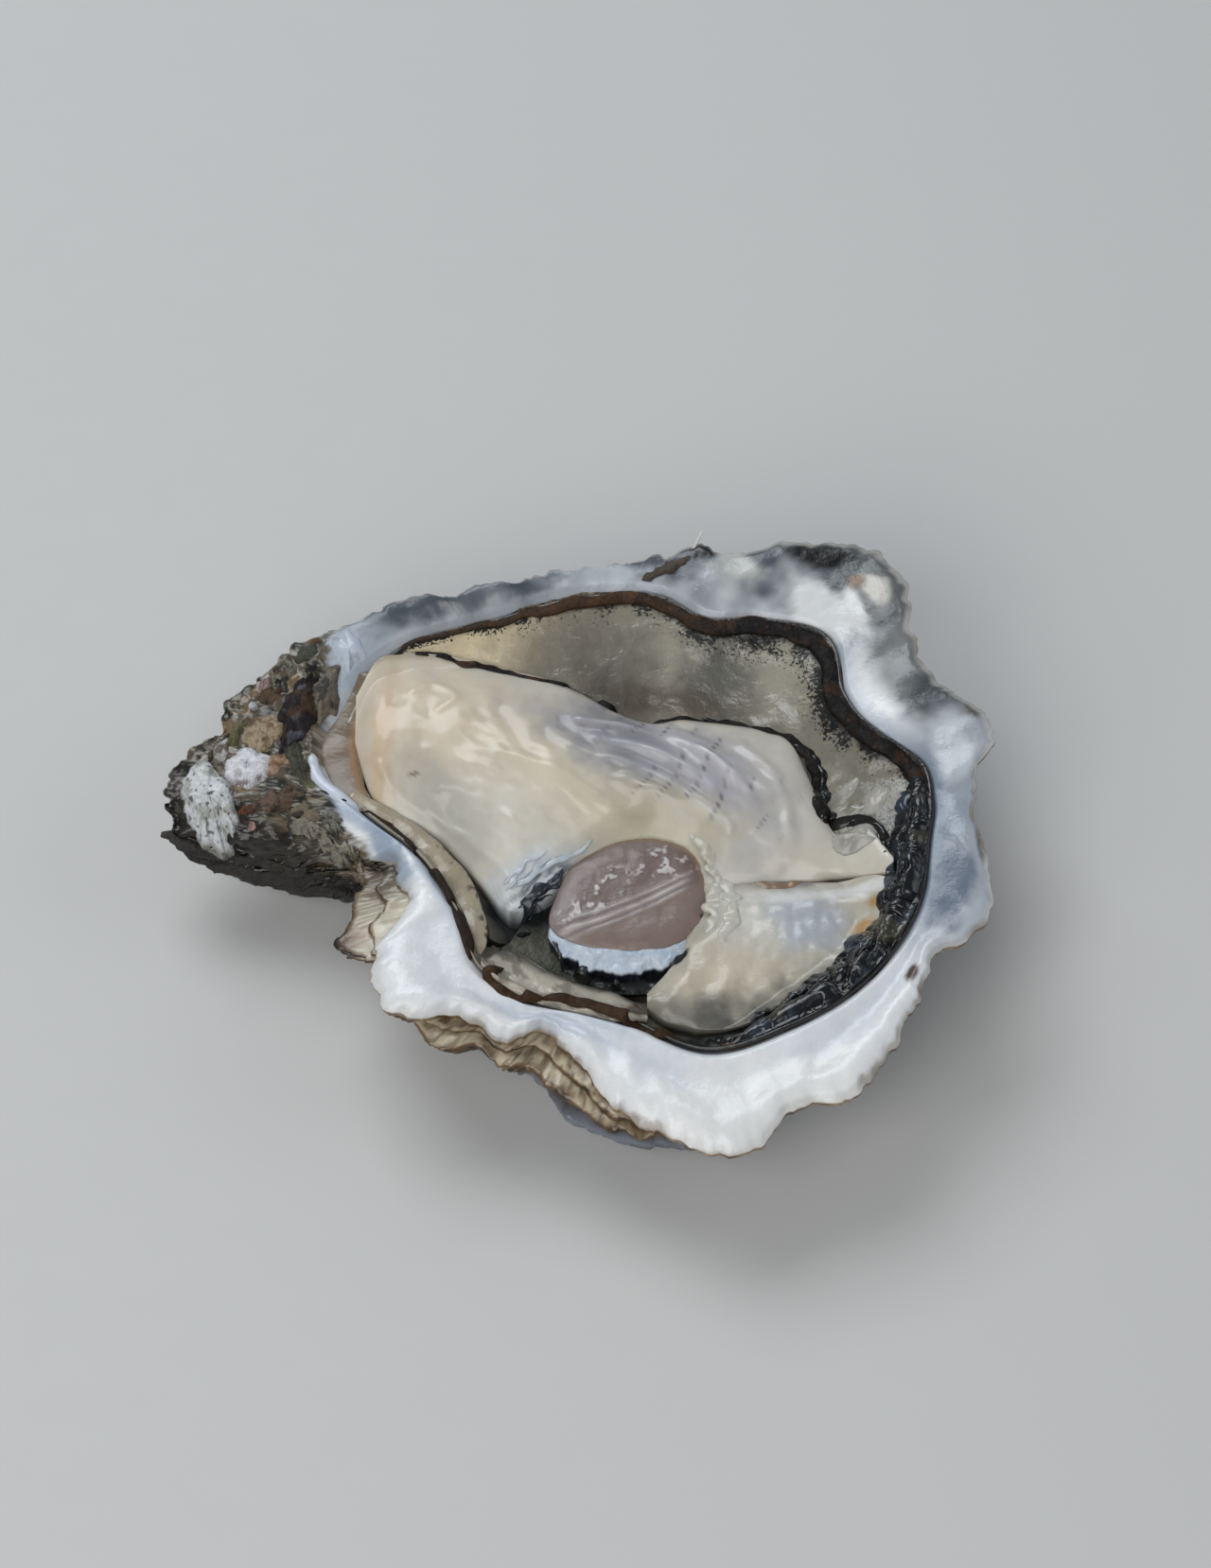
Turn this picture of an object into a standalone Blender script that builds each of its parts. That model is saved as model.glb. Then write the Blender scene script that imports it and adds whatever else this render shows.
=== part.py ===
# A raw oyster on its deep half shell, opened and ready to eat.
#
# X runs from the hinge (-X) to the wide lip (+X), Y from the front lip to the back lip, Z is up.
# The shell stands on a small flat spot at Z = 0 and the origin is the middle of the whole, on the floor.
# Plan places are given from the cup's middle; bearings are degrees from +X towards +Y around it.

import math

import bmesh
import bpy
import numpy as np
from mathutils import Vector
from mathutils.bvhtree import BVHTree

MM = 0.001                # every size below is in millimetres

# Driving sizes
CUP_MIDDLE = (7.5, 4.0)   # the cup's middle, from the middle of the whole
FLOOR_TOP = 4.0           # top of the shell at the bottom of the bowl
BOWL_POWER = 2.8          # how late the bowl's side turns up
FOOT_MIDDLE = -4.0        # the flat spot's middle along X, from the cup's middle
FOOT_HALF = (16.0, 12.0)  # half length and half width of the flat spot
LIP_THICK = 1.3           # thickness of the lip at its edge
LEAF_DROP = 1.7           # height from one shell leaf to the next one below it
LEAF_TUCK = 2.4           # how far a leaf's underside goes back in
GAP = 0.4                 # clearance between pieces that lie on each other
CROWN_POWER = 1.5         # how gently a soft piece rises from its edge
BED_REACH = 0.9           # how far beside a place a soft piece keeps that clearance
SIDE_GAP = 0.35           # clearance around the muscles
MUSCLE_MIDDLE = (-0.6, -9.2)
MUSCLE_HALF = (10.3, 7.1)
MUSCLE_TURN = 9.0         # degrees
MUSCLE_SLANT = 0.07       # how much the muscle's top rises towards the back
MUSCLE_TOP = 15.2
CATCH_MIDDLE = (-1.0, -12.2)
CATCH_HALF = (8.8, 6.4)
CATCH_TOP = 14.4
LIQUOR_LEVEL = 12.0
LINING_FLOOR = 9.6        # the lining's low middle, under the body and the liquor

SHELL_COLUMNS = 88
LINING_COLUMNS = 56
HINGE_BEARING = 174.0     # the shell's columns stand closer together here
HINGE_CROWDING = 0.3
MUSCLE_COLUMNS = 28
GROWTH_COLUMNS = 14

# The rounded crest inside the lip: bearing, reach, height
CREST = [
    (0, 34.6, 21.0), (8, 34.0, 21.3), (15, 31.0, 21.6), (24, 29.0, 21.9), (32, 29.3, 22.0),
    (46, 33.4, 22.0), (60, 31.0, 22.0), (74, 28.5, 22.0), (85, 31.0, 22.0), (100, 32.0, 21.7),
    (125, 34.0, 20.6), (143, 39.0, 19.8), (157, 41.0, 18.5), (170, 39.5, 18.0), (178, 34.6, 18.0),
    (188, 29.0, 18.0), (205, 26.2, 17.8), (216, 26.6, 17.5), (226, 28.8, 17.2), (240, 29.0, 16.5),
    (255, 28.0, 16.5), (268, 29.0, 16.5), (283, 33.5, 16.5), (300, 34.6, 17.6), (318, 35.8, 18.8),
    (335, 35.8, 20.0), (350, 34.5, 20.9),
]

# The scalloped outer edge of the lip: bearing, reach, height
LIP = [
    (0, 39.8, 22.0), (5, 40.6, 22.5), (12, 43.0, 23.5), (22, 39.8, 24.0), (35, 40.2, 24.5),
    (43, 43.8, 25.0), (54, 44.7, 25.0), (63, 40.2, 24.5), (71, 37.2, 24.0), (79, 37.0, 24.0),
    (90, 34.8, 23.0), (102, 34.5, 23.0), (113, 35.0, 22.5), (126, 38.3, 22.0), (138, 43.0, 21.5),
    (147, 46.6, 20.0), (158, 50.5, 18.5), (167, 54.6, 17.0), (173, 57.2, 15.0), (178, 56.0, 13.2),
    (182, 50.0, 12.2), (185, 39.5, 12.6), (189, 32.2, 15.5), (197, 30.3, 16.3), (205, 30.7, 16.5),
    (211, 36.5, 17.0), (226, 38.6, 17.0), (232, 34.6, 16.5), (240, 34.5, 15.5), (249, 30.4, 14.8),
    (255, 32.2, 14.5), (262, 36.1, 14.5), (268, 39.8, 14.8), (275, 42.7, 15.0), (282, 45.8, 15.0),
    (292, 44.0, 16.0), (309, 44.5, 17.5), (318, 41.6, 18.5), (327, 40.0, 19.5), (337, 43.3, 20.5),
    (346, 41.6, 21.6),
]

# The first leaf under the lip: bearing, how far it shows past the lip
LEAF = [
    (0, -1.6), (150, -1.6), (172, -1.6), (180, -1.2), (187, 3.6), (194, 4.3), (200, 6.6), (205, 8.8),
    (210, 1.5), (220, -0.6), (227, -0.4), (231, 3.8), (238, 1.2), (247, 4.4), (257, 4.4), (265, 2.2),
    (273, -1.0), (285, -1.6),
]

# Where the cup swells out below the front lip: bearing, spread, extra reach
CUP_BULGE = (262.0, 13.0, 2.4)

# The cup's outer wall: bearing, reach past the crest, fullness (1 is a straight slope, 2 is round)
WALL = [
    (0, 4.4, 1.25), (90, 4.0, 1.25), (140, 4.6, 1.2), (175, 6.5, 1.1), (205, 5.5, 1.2),
    (235, 5.5, 1.4), (252, 8.0, 2.0), (268, 9.5, 2.4), (285, 7.0, 1.7), (310, 4.6, 1.3),
]

# The lining's edge: bearing, how far it stays inside the crest, how late it turns up
LINING = [
    (0, 0.9, 1.2), (12, 0.9, 1.6), (25, 0.9, 1.9), (42, 0.9, 1.3), (60, 0.9, 1.3), (78, 0.9, 1.1),
    (95, 1.0, 0.9), (110, 1.0, 0.95), (122, 1.0, 1.3), (132, 1.0, 1.7), (144, 2.0, 2.4), (156, 3.6, 2.6),
    (170, 2.4, 3.0), (182, 1.2, 3.4), (195, 1.0, 4.0), (222, 1.0, 9.0), (250, 2.0, 7.0), (275, 1.6, 6.0),
    (300, 1.0, 3.0), (330, 0.9, 2.2),
]

# Soft pieces: X, front edge Y, back edge Y, front height, back height, crown above them
BODY = [
    (-34.4, 10.5, 17.0, 16.8, 17.2, 0.6), (-32.5, 4.2, 20.6, 16.4, 17.6, 2.4),
    (-29.0, 0.8, 22.2, 15.8, 17.8, 3.4), (-24.0, -2.2, 22.5, 15.0, 17.8, 4.0),
    (-19.0, -7.5, 21.8, 13.9, 17.6, 4.6), (-15.6, -11.2, 21.0, 13.4, 17.5, 4.8),
    (-12.0, -10.0, 20.2, 14.0, 17.5, 4.5), (-7.5, -6.4, 18.2, 15.0, 17.5, 3.9),
    (-3.0, -3.9, 15.2, 15.6, 17.5, 3.3), (1.5, -3.1, 13.5, 15.8, 17.5, 3.0),
    (6.0, -4.2, 14.1, 15.8, 17.5, 2.9), (10.5, -7.0, 13.4, 15.8, 17.5, 3.0),
    (15.0, -7.5, 12.2, 16.0, 17.6, 2.8), (18.5, -7.6, 9.6, 16.2, 17.8, 2.4),
    (20.3, -7.8, 4.5, 16.4, 17.8, 1.9), (22.5, -8.1, -2.2, 16.6, 17.8, 1.0),
    (26.5, -8.9, -2.8, 17.0, 17.8, 0.9), (29.4, -9.5, -7.6, 17.2, 17.4, 0.3),
]
FOLD = [
    (1.6, -24.6, -22.6, 14.4, 14.4, 0.4), (5.0, -27.2, -20.0, 14.4, 14.6, 1.6),
    (9.0, -28.0, -13.5, 14.6, 15.2, 2.0), (12.0, -27.7, -9.4, 14.8, 16.4, 1.8),
    (17.5, -25.2, -9.3, 15.2, 16.7, 1.8), (23.8, -21.2, -10.1, 15.8, 16.9, 1.5),
    (27.8, -16.9, -10.3, 16.2, 16.9, 1.2), (30.3, -13.9, -11.4, 16.6, 16.6, 0.3),
]
FLAP = [
    (-18.2, -22.2, -20.6, 15.2, 15.2, 0.2), (-14.8, -24.4, -19.9, 15.0, 15.0, 0.9),
    (-10.8, -25.6, -20.8, 14.8, 14.8, 1.1), (-4.2, -27.2, -21.8, 14.6, 14.6, 1.2),
    (-0.6, -28.0, -23.6, 14.6, 14.6, 1.0), (1.0, -28.2, -25.8, 14.6, 14.6, 0.3),
]
LIQUOR = [
    (-15.6, -16.4, -14.8), (-14.4, -17.8, -12.8), (-12.6, -18.6, -10.8), (-10.0, -19.4, -9.0),
    (-6.0, -20.2, -10.0), (0.0, -20.6, -14.0), (3.2, -20.4, -17.0), (4.6, -19.8, -18.6),
]

# Small growths on the hinge end: X, Y, half length, half width, turn, height, how far its top is open
LIGAMENT = (-40.0, 13.4, 5.6, 3.6, 68.0, 2.4, 0.0)
BARNACLES = [
    (-51.8, 3.5, 5.5, 3.0, -66.0, 3.2, 0.2),
    (-47.0, 7.0, 3.0, 2.5, 20.0, 1.8, 0.35),
    (-43.2, 19.4, 1.9, 1.6, 30.0, 1.4, 0.5),
]


# ---- Curves and surfaces ----

def smooth_curve(knots, values, places):
    slopes = np.gradient(values, knots)
    left = np.clip(np.searchsorted(knots, places, side="right") - 1, 0, len(knots) - 2)
    span = knots[left + 1] - knots[left]
    share = (places - knots[left]) / span
    start = (1 + 2 * share) * (1 - share) ** 2 * values[left]
    leave = share * (1 - share) ** 2 * span * slopes[left]
    end = share ** 2 * (3 - 2 * share) * values[left + 1]
    arrive = share ** 2 * (share - 1) * span * slopes[left + 1]
    return start + leave + end + arrive


def around(rows, column, bearings):
    # a column of a table of bearings, as a smooth closed curve
    table = np.array(rows, float)
    knots = np.concatenate((table[-2:, 0] - 360, table[:, 0], table[:2, 0] + 360))
    values = np.concatenate((table[-2:, column], table[:, column], table[:2, column]))
    return smooth_curve(knots, values, np.mod(bearings, 360))


def along(rows, column, places):
    # a column of a table of places along X, as a smooth open curve
    table = np.array(rows, float)
    return smooth_curve(table[:, 0], table[:, column], places)


def ring(bearings, reach, height):
    turn = np.radians(bearings)
    flat = np.broadcast_to(height, bearings.shape)
    return np.stack((reach * np.cos(turn), reach * np.sin(turn), flat), axis=1)


def loft(name, rings, colour, roughness):
    # a sphere whose poles and rings are moved onto the first, the last and the other rings given
    columns = len(rings[1])
    bm = bmesh.new()
    bmesh.ops.create_uvsphere(bm, u_segments=columns, v_segments=len(rings) - 1, radius=1.0)
    middle = np.array((*CUP_MIDDLE, 0.0))
    for vert in bm.verts:
        row = round(math.acos(max(-1.0, min(1.0, vert.co.z))) / math.pi * (len(rings) - 1))
        column = round(math.atan2(vert.co.y, vert.co.x) / math.tau * columns) % columns
        vert.co = Vector((rings[row][column % len(rings[row])] + middle) * MM)
    bmesh.ops.triangulate(bm, faces=bm.faces[:])
    bmesh.ops.recalc_face_normals(bm, faces=bm.faces[:])
    mesh = bpy.data.meshes.new(name)
    bm.to_mesh(mesh)
    bm.free()
    mesh.shade_smooth()
    mesh.materials.append(material(name, colour, roughness))
    piece = bpy.data.objects.new(name, mesh)
    parts.objects.link(piece)
    return piece


def material(name, colour, roughness):
    coat = bpy.data.materials.new(name)
    coat.use_nodes = True
    shader = coat.node_tree.nodes["Principled BSDF"]
    shader.inputs["Base Color"].default_value = (*colour, 1.0)
    shader.inputs["Roughness"].default_value = roughness
    shader.inputs["Metallic"].default_value = 0.0
    return coat


def surface_of(piece):
    return BVHTree.FromObject(piece, bpy.context.evaluated_depsgraph_get())


def ground(supports, point, missing):
    # the highest support under a plan place, in millimetres
    start = Vector(((point[0] + CUP_MIDDLE[0]) * MM, (point[1] + CUP_MIDDLE[1]) * MM, 0.1))
    height = missing
    for surface in supports:
        place = surface.ray_cast(start, Vector((0.0, 0.0, -1.0)))[0]
        if place is not None:
            height = max(height, place.z / MM)
    return height


def lying_on(supports, places, missing=0.0):
    return np.array([ground(supports, place, missing) for place in places]) + GAP


def bed_under(supports, x, y):
    # the height at which a soft piece lies clear of everything below and close beside a place
    beside = [(x, y), (x + BED_REACH, y), (x - BED_REACH, y), (x, y + BED_REACH), (x, y - BED_REACH)]
    return lying_on(supports, beside).max()


def shrunk(plan, middle, share):
    return middle + (plan - middle) * share


def raised(plan, heights):
    return np.column_stack((plan, np.broadcast_to(heights, len(plan))))


def turned_oval(middle, half, degrees, count, ripple=0.0):
    # plan places around an oval; ripple makes its edge uneven
    turn = math.radians(degrees)
    angles = np.arange(count) * math.tau / count
    wide = half[0] * np.cos(angles) * (1 + ripple * np.sin(5 * angles))
    deep = half[1] * np.sin(angles) * (1 + ripple * np.sin(5 * angles))
    x = middle[0] + wide * math.cos(turn) - deep * math.sin(turn)
    y = middle[1] + wide * math.sin(turn) + deep * math.cos(turn)
    return np.column_stack((x, y))


# ---- The shell ----

def shell_rings(bearings):
    crest_reach = around(CREST, 1, bearings)
    crest_height = around(CREST, 2, bearings)
    lip_reach = around(LIP, 1, bearings)
    lip_height = around(LIP, 2, bearings)
    turn = np.radians(bearings)
    rings = [np.array([(0.0, 0.0, FLOOR_TOP)])]
    for share in (0.22, 0.42, 0.6, 0.75, 0.88, 0.96):
        rise = (crest_height - FLOOR_TOP) * share ** BOWL_POWER
        rings.append(ring(bearings, crest_reach * share, FLOOR_TOP + rise))
    for share, swell in ((0.0, 0.1), (0.3, 0.5), (0.7, 0.5), (0.97, 0.1)):
        reach = crest_reach + (lip_reach - crest_reach) * share
        height = crest_height + (lip_height - crest_height) * share + swell
        rings.append(ring(bearings, reach, height))
    rings.append(ring(bearings, lip_reach, lip_height - LIP_THICK / 2))
    leaf_reach = lip_reach + around(LEAF, 1, bearings)
    leaf_height = lip_height - LEAF_DROP
    rings.append(ring(bearings, np.minimum(lip_reach, leaf_reach) - LEAF_TUCK, leaf_height + 0.4))
    rings.append(ring(bearings, leaf_reach - 0.4, leaf_height))
    rings.append(ring(bearings, leaf_reach, leaf_height - 0.8))
    rings.append(ring(bearings, leaf_reach - LEAF_TUCK, leaf_height - 1.1))
    second = leaf_reach - 1.3 + 0.7 * np.sin(turn * 9 + 1)
    rings.append(ring(bearings, second, leaf_height - LEAF_DROP - 0.6))
    bulge_bearing, bulge_spread, bulge_reach = CUP_BULGE
    bulge = bulge_reach * np.exp(-((bearings - bulge_bearing) / bulge_spread) ** 2)
    wall_reach = np.minimum(crest_reach + around(WALL, 1, bearings), leaf_reach - 2.2 + bulge)
    wall_height = leaf_height - LEAF_DROP - 2.2
    top = ring(bearings, wall_reach, wall_height)
    rings.append(top)
    rings.extend(cup_rings(bearings, top))
    rings.append(np.array([(FOOT_MIDDLE, 0.0, 0.0)]))
    return rings


def cup_rings(bearings, top):
    # the outside of the cup, from under the leaves down to the flat spot, with three worn leaves
    turn = np.radians(bearings)
    out = ring(bearings, 1.0, 0.0)
    foot = out * (*FOOT_HALF, 0.0) + (FOOT_MIDDLE, 0.0, 0.0)
    power = 2 / around(WALL, 2, bearings)
    rings = []
    for index, slope in enumerate((14, 34, 54, 74)):
        share = math.cos(math.radians(slope)) ** power
        low = math.sin(math.radians(slope)) ** power
        place = foot + (top - foot) * share[:, None]
        place[:, 2] = top[:, 2] * (1 - low)
        reach = 0.9 + 0.5 * np.sin(turn * (5 + index) + 2 * index)
        rings.append(place + out * reach[:, None])
        rings.append(place - out * 0.3 - np.array((0, 0, 0.35)) * np.minimum(1, place[:, 2:]))
    rings.append(foot)
    return rings


def make_shell():
    steps = np.arange(SHELL_COLUMNS) * 360 / SHELL_COLUMNS
    crowd = HINGE_CROWDING * np.degrees(np.sin(np.radians(steps - HINGE_BEARING)))
    return loft("shell", shell_rings(steps - crowd), (0.74, 0.74, 0.72), 0.35)


# ---- The flesh ----

def make_lining(shell):
    # the lower mantle: a full lining of the bowl, low in the middle, its edge just under the crest
    bearings = np.arange(LINING_COLUMNS) * 360 / LINING_COLUMNS
    edge = around(CREST, 1, bearings) - around(LINING, 1, bearings)
    lateness = around(LINING, 2, bearings)
    supports = [surface_of(shell)]
    edge_height = lying_on(supports, ring(bearings, edge, 0)) + 0.5
    rings = [np.array([(0.0, 0.0, LINING_FLOOR)])]
    for share in (0.3, 0.5, 0.65, 0.8, 0.91):
        height = LINING_FLOOR + (edge_height + 0.3 - LINING_FLOOR) * share ** lateness
        rings.append(ring(bearings, edge * share, height))
    rings.append(ring(bearings, edge, edge_height))
    for share in (0.95, 0.85, 0.68, 0.45, 0.22):
        under = ring(bearings, edge * share, 0)
        under[:, 2] = lying_on(supports, under)
        rings.append(under)
    rings.append(np.array([(0.0, 0.0, FLOOR_TOP + GAP)]))
    return loft("mantle", rings, (0.62, 0.57, 0.46), 0.3)


def section(x, front, middle, back, columns, height):
    # a closed slice across a piece at X: back edge, over the top, front edge, underside
    places = []
    for angle in np.arange(columns) * math.tau / columns:
        across = math.cos(angle)
        y = middle + across * (back - middle if across > 0 else middle - front)
        places.append((x, y, height(y, across, round(math.sin(angle), 6))))
    return np.array(places)


def pillow(name, rows, stations, columns, supports, colour, roughness):
    # a soft piece made of slices, its underside lying on what is below
    first, last = rows[0], rows[-1]
    rings = []
    for x in first[0] + (last[0] - first[0]) * (1 - np.cos(np.linspace(0, math.pi, stations))) / 2:
        front, back, low, high, crown = [along(rows, column, x) for column in range(1, 6)]

        def height(y, across, up):
            bed = bed_under(supports, x, y)
            if up < 0:
                return bed
            top = low + (high - low) * (across + 1) / 2 + crown * up ** CROWN_POWER
            return max(top, bed + 0.7 + 0.5 * up) - (0.3 if up == 0 else 0.0)

        rings.append(section(x, front, (front + back) / 2, back, columns, height))
    tips = []
    for row, step in ((first, -0.8), (last, 0.8)):
        place = (row[0] + step, (row[1] + row[2]) / 2)
        tips.append(np.array([(*place, max((row[3] + row[4]) / 2, bed_under(supports, *place) + 0.4))]))
    return loft(name, [tips[0], *rings, tips[1]], colour, roughness)


def shore(supports, x, middle, side):
    # walk from the middle towards one side until the bed comes up to the liquor's level
    reached = middle
    for y in np.linspace(middle, side, 16):
        if ground(supports, (x, y), 0) + GAP > LIQUOR_LEVEL - 0.25:
            break
        reached = y
    return reached


def make_liquor(supports):
    # the pool of liquor: a flat top, and an edge wherever what lies below comes up to its level
    rings = []
    for x in np.linspace(LIQUOR[0][0], LIQUOR[-1][0], 13):
        front, back = along(LIQUOR, 1, x), along(LIQUOR, 2, x)
        middle = (front + back) / 2
        front = shore(supports, x, middle, front)
        back = shore(supports, x, middle, back)

        def height(y, across, up):
            if up < 0:
                return min(ground(supports, (x, y), 0) + GAP, LIQUOR_LEVEL - 0.25)
            return LIQUOR_LEVEL - (0.1 if up == 0 else 0.0)

        rings.append(section(x, front, middle, back, 12, height))
    tips = []
    for slice_end, step in ((rings[0], -0.6), (rings[-1], 0.6)):
        tips.append(raised(slice_end[:, :2].mean(axis=0, keepdims=True) + (step, 0), LIQUOR_LEVEL - 0.12))
    return loft("liquor", [tips[0], *rings, tips[1]], (0.2, 0.2, 0.16), 0.05)


def muscle(name, middle, half, top, supports, colour):
    # an upright oval column standing on the shell, its top rounded over
    plan = turned_oval(middle, half, MUSCLE_TURN, MUSCLE_COLUMNS)
    slant = MUSCLE_SLANT * (plan[:, 1] - middle[1])
    centre = np.array([middle])
    rings = [raised(centre, top + 0.5)]
    for share, drop in ((0.4, 0.0), (0.72, 0.15), (0.92, 0.45), (1.0, 0.9)):
        rings.append(raised(shrunk(plan, centre, share), top + 0.5 - drop + slant * share))
    for share in (1.0, 0.55):
        foot = shrunk(plan, centre, share)
        rings.append(raised(foot, lying_on(supports, foot)))
    rings.append(raised(centre, lying_on(supports, centre)))
    return loft(name, rings, colour, 0.3)


def muscle_room(name, middle, half):
    # a cutter: the room that a muscle needs, from below the shell's floor to above everything
    grown = (half[0] + SIDE_GAP, half[1] + SIDE_GAP)
    plan = turned_oval(middle, grown, MUSCLE_TURN, MUSCLE_COLUMNS)
    centre = np.array([middle])
    rings = [raised(centre, 40), raised(plan, 40), raised(plan, -5), raised(centre, -5)]
    room = loft(name, rings, (0.5, 0.5, 0.5), 0.5)
    parts.objects.unlink(room)
    cutters.objects.link(room)
    room.hide_render = True
    room.display_type = "WIRE"
    return room


def cut(piece, room):
    modifier = piece.modifiers.new(room.name, "BOOLEAN")
    modifier.operation = "DIFFERENCE"
    modifier.solver = "EXACT"
    modifier.object = room


# ---- Growths on the hinge end ----

def growth(name, place, supports, colour, roughness):
    # a low mound laid over the shell; a barnacle's top is sunk into a small mouth
    x, y, half_long, half_wide, turn, height, mouth = place
    plan = turned_oval((x, y), (half_long, half_wide), turn, GROWTH_COLUMNS, 0.06)
    centre = np.array([(x, y)])
    lowest = ground(supports, (x, y), 0) - 3.0
    steps = [(0.0, height)]
    if mouth:
        steps = [(0.0, height - 1.0), (mouth * 0.6, height - 0.9), (mouth, height)]
    steps += [((1 + mouth) / 2, 0.75 * height), (0.9, 0.42 * height), (1.0, 0.3)]
    steps += [(0.95, 0.0), (0.75, 0.0), (0.4, 0.0), (0.0, 0.0)]
    rings = []
    for share, rise in steps:
        places = shrunk(plan, centre, share) if share else centre
        rings.append(raised(places, lying_on(supports, places, lowest) + rise))
    return loft(name, rings, colour, roughness)


# ---- Build ----

for old in list(bpy.data.objects):
    bpy.data.objects.remove(old, do_unlink=True)
parts = bpy.data.collections.new("oyster_half_shell")
cutters = bpy.data.collections.new("cutters")
for collection in (parts, cutters):
    bpy.context.scene.collection.children.link(collection)

shell = make_shell()
lining = make_lining(shell)
on_shell = [surface_of(shell)]
bed = [surface_of(shell), surface_of(lining)]
body = pillow("body", BODY, 21, 20, bed, (0.72, 0.66, 0.53), 0.25)
fold = pillow("lower_fold", FOLD, 14, 16, bed, (0.7, 0.68, 0.6), 0.25)
flap = pillow("mantle_flap", FLAP, 12, 12, bed, (0.55, 0.5, 0.41), 0.3)
liquor = make_liquor([*bed, surface_of(body), surface_of(fold), surface_of(flap)])
adductor = muscle("adductor_muscle", MUSCLE_MIDDLE, MUSCLE_HALF, MUSCLE_TOP, on_shell, (0.42, 0.33, 0.31))
catch = muscle("catch_muscle", CATCH_MIDDLE, CATCH_HALF, CATCH_TOP, on_shell, (0.72, 0.77, 0.82))
adductor_room = muscle_room("adductor_room", MUSCLE_MIDDLE, MUSCLE_HALF)
catch_room = muscle_room("catch_room", CATCH_MIDDLE, CATCH_HALF)
cut(catch, adductor_room)
for piece in (lining, body, fold, liquor):
    cut(piece, adductor_room)
    cut(piece, catch_room)
growth("hinge_ligament", LIGAMENT, on_shell, (0.16, 0.14, 0.16), 0.4)
for number, place in enumerate(BARNACLES, 1):
    growth(f"barnacle_{number}", place, on_shell, (0.6, 0.6, 0.58), 0.6)
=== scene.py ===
import math

import bpy
import numpy as np
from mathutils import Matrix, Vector
from mathutils.bvhtree import BVHTree


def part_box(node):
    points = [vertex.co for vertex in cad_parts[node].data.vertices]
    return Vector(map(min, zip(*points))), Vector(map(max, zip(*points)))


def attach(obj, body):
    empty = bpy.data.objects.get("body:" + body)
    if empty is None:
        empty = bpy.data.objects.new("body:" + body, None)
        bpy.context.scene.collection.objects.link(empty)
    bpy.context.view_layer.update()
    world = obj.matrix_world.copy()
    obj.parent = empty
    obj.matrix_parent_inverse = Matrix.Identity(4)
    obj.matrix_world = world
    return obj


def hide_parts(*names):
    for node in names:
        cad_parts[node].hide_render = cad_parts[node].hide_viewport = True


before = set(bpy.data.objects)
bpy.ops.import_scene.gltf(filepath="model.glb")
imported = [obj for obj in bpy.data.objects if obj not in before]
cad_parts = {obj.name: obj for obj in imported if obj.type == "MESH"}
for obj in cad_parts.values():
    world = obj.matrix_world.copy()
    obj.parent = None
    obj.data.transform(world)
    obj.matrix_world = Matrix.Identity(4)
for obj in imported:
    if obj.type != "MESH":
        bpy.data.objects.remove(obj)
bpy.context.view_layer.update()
print("cad solids loaded")

mm = 0.001
shellLow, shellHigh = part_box("shell")
cupMiddle = np.array(((shellLow[0] + shellHigh[0]) / 2 / mm + 7.5,
                      (shellLow[1] + shellHigh[1]) / 2 / mm + 4.0,
                      shellLow[2] / mm))   # every plan place below is from here, in millimetres


# noise and curves

def dice(ix, iy, iz, seed):
    mixed = (ix * 73856093) ^ (iy * 19349663) ^ (iz * 83492791) ^ (seed * 40503611)
    mixed = (mixed ^ (mixed >> 13)) & 0xffffffff
    mixed = (mixed * 1274126177) & 0xffffffff
    mixed = mixed ^ (mixed >> 16)
    return mixed / 0xffffffff


def lumps(points, size, seed=1):
    # smooth noise from -1 to 1, its lumps about one size across
    place = np.asarray(points, float) / size
    cell = np.floor(place).astype(np.int64)
    part = place - cell
    part = part * part * part * (part * (part * 6 - 15) + 10)
    total = 0
    for dx in (0, 1):
        for dy in (0, 1):
            for dz in (0, 1):
                weight = ((part[..., 0] if dx else 1 - part[..., 0])
                          * (part[..., 1] if dy else 1 - part[..., 1])
                          * (part[..., 2] if dz else 1 - part[..., 2]))
                total = total + weight * dice(cell[..., 0] + dx, cell[..., 1] + dy, cell[..., 2] + dz, seed)
    return total * 2 - 1


def grit(points, size, layers=4, seed=1):
    total = 0
    for layer in range(layers):
        total = total + lumps(points, size / 2 ** layer, seed + layer * 17) * 0.55 ** layer
    return total


def smooth(value, low, high):
    share = np.clip((value - low) / (high - low), 0, 1)
    return share * share * (3 - 2 * share)


def smoothCurve(knots, values, places):
    slopes = np.gradient(values, knots)
    left = np.clip(np.searchsorted(knots, places, side="right") - 1, 0, len(knots) - 2)
    span = knots[left + 1] - knots[left]
    share = (places - knots[left]) / span
    return ((1 + 2 * share) * (1 - share) ** 2 * values[left]
            + share * (1 - share) ** 2 * span * slopes[left]
            + share ** 2 * (3 - 2 * share) * values[left + 1]
            + share ** 2 * (share - 1) * span * slopes[left + 1])


def around(rows, column, bearings):
    table = np.array(rows, float)
    knots = np.concatenate((table[-2:, 0] - 360, table[:, 0], table[:2, 0] + 360))
    values = np.concatenate((table[-2:, column], table[:, column], table[:2, column]))
    return smoothCurve(knots, values, np.mod(bearings, 360))


def along(rows, column, places):
    table = np.array(rows, float)
    return smoothCurve(table[:, 0], table[:, column], np.clip(places, table[0, 0], table[-1, 0]))


def hump(value, middle, wide):
    # 1 at the middle, falling away to both sides
    return np.exp(-((value - middle) / wide) ** 2)


def levelled(values, times):
    # each value drawn towards its neighbours
    for _ in range(times):
        padded = np.pad(values, 1, mode="edge")
        values = (padded[:-2] + values * 2 + padded[2:]) / 4
    return values


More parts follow.
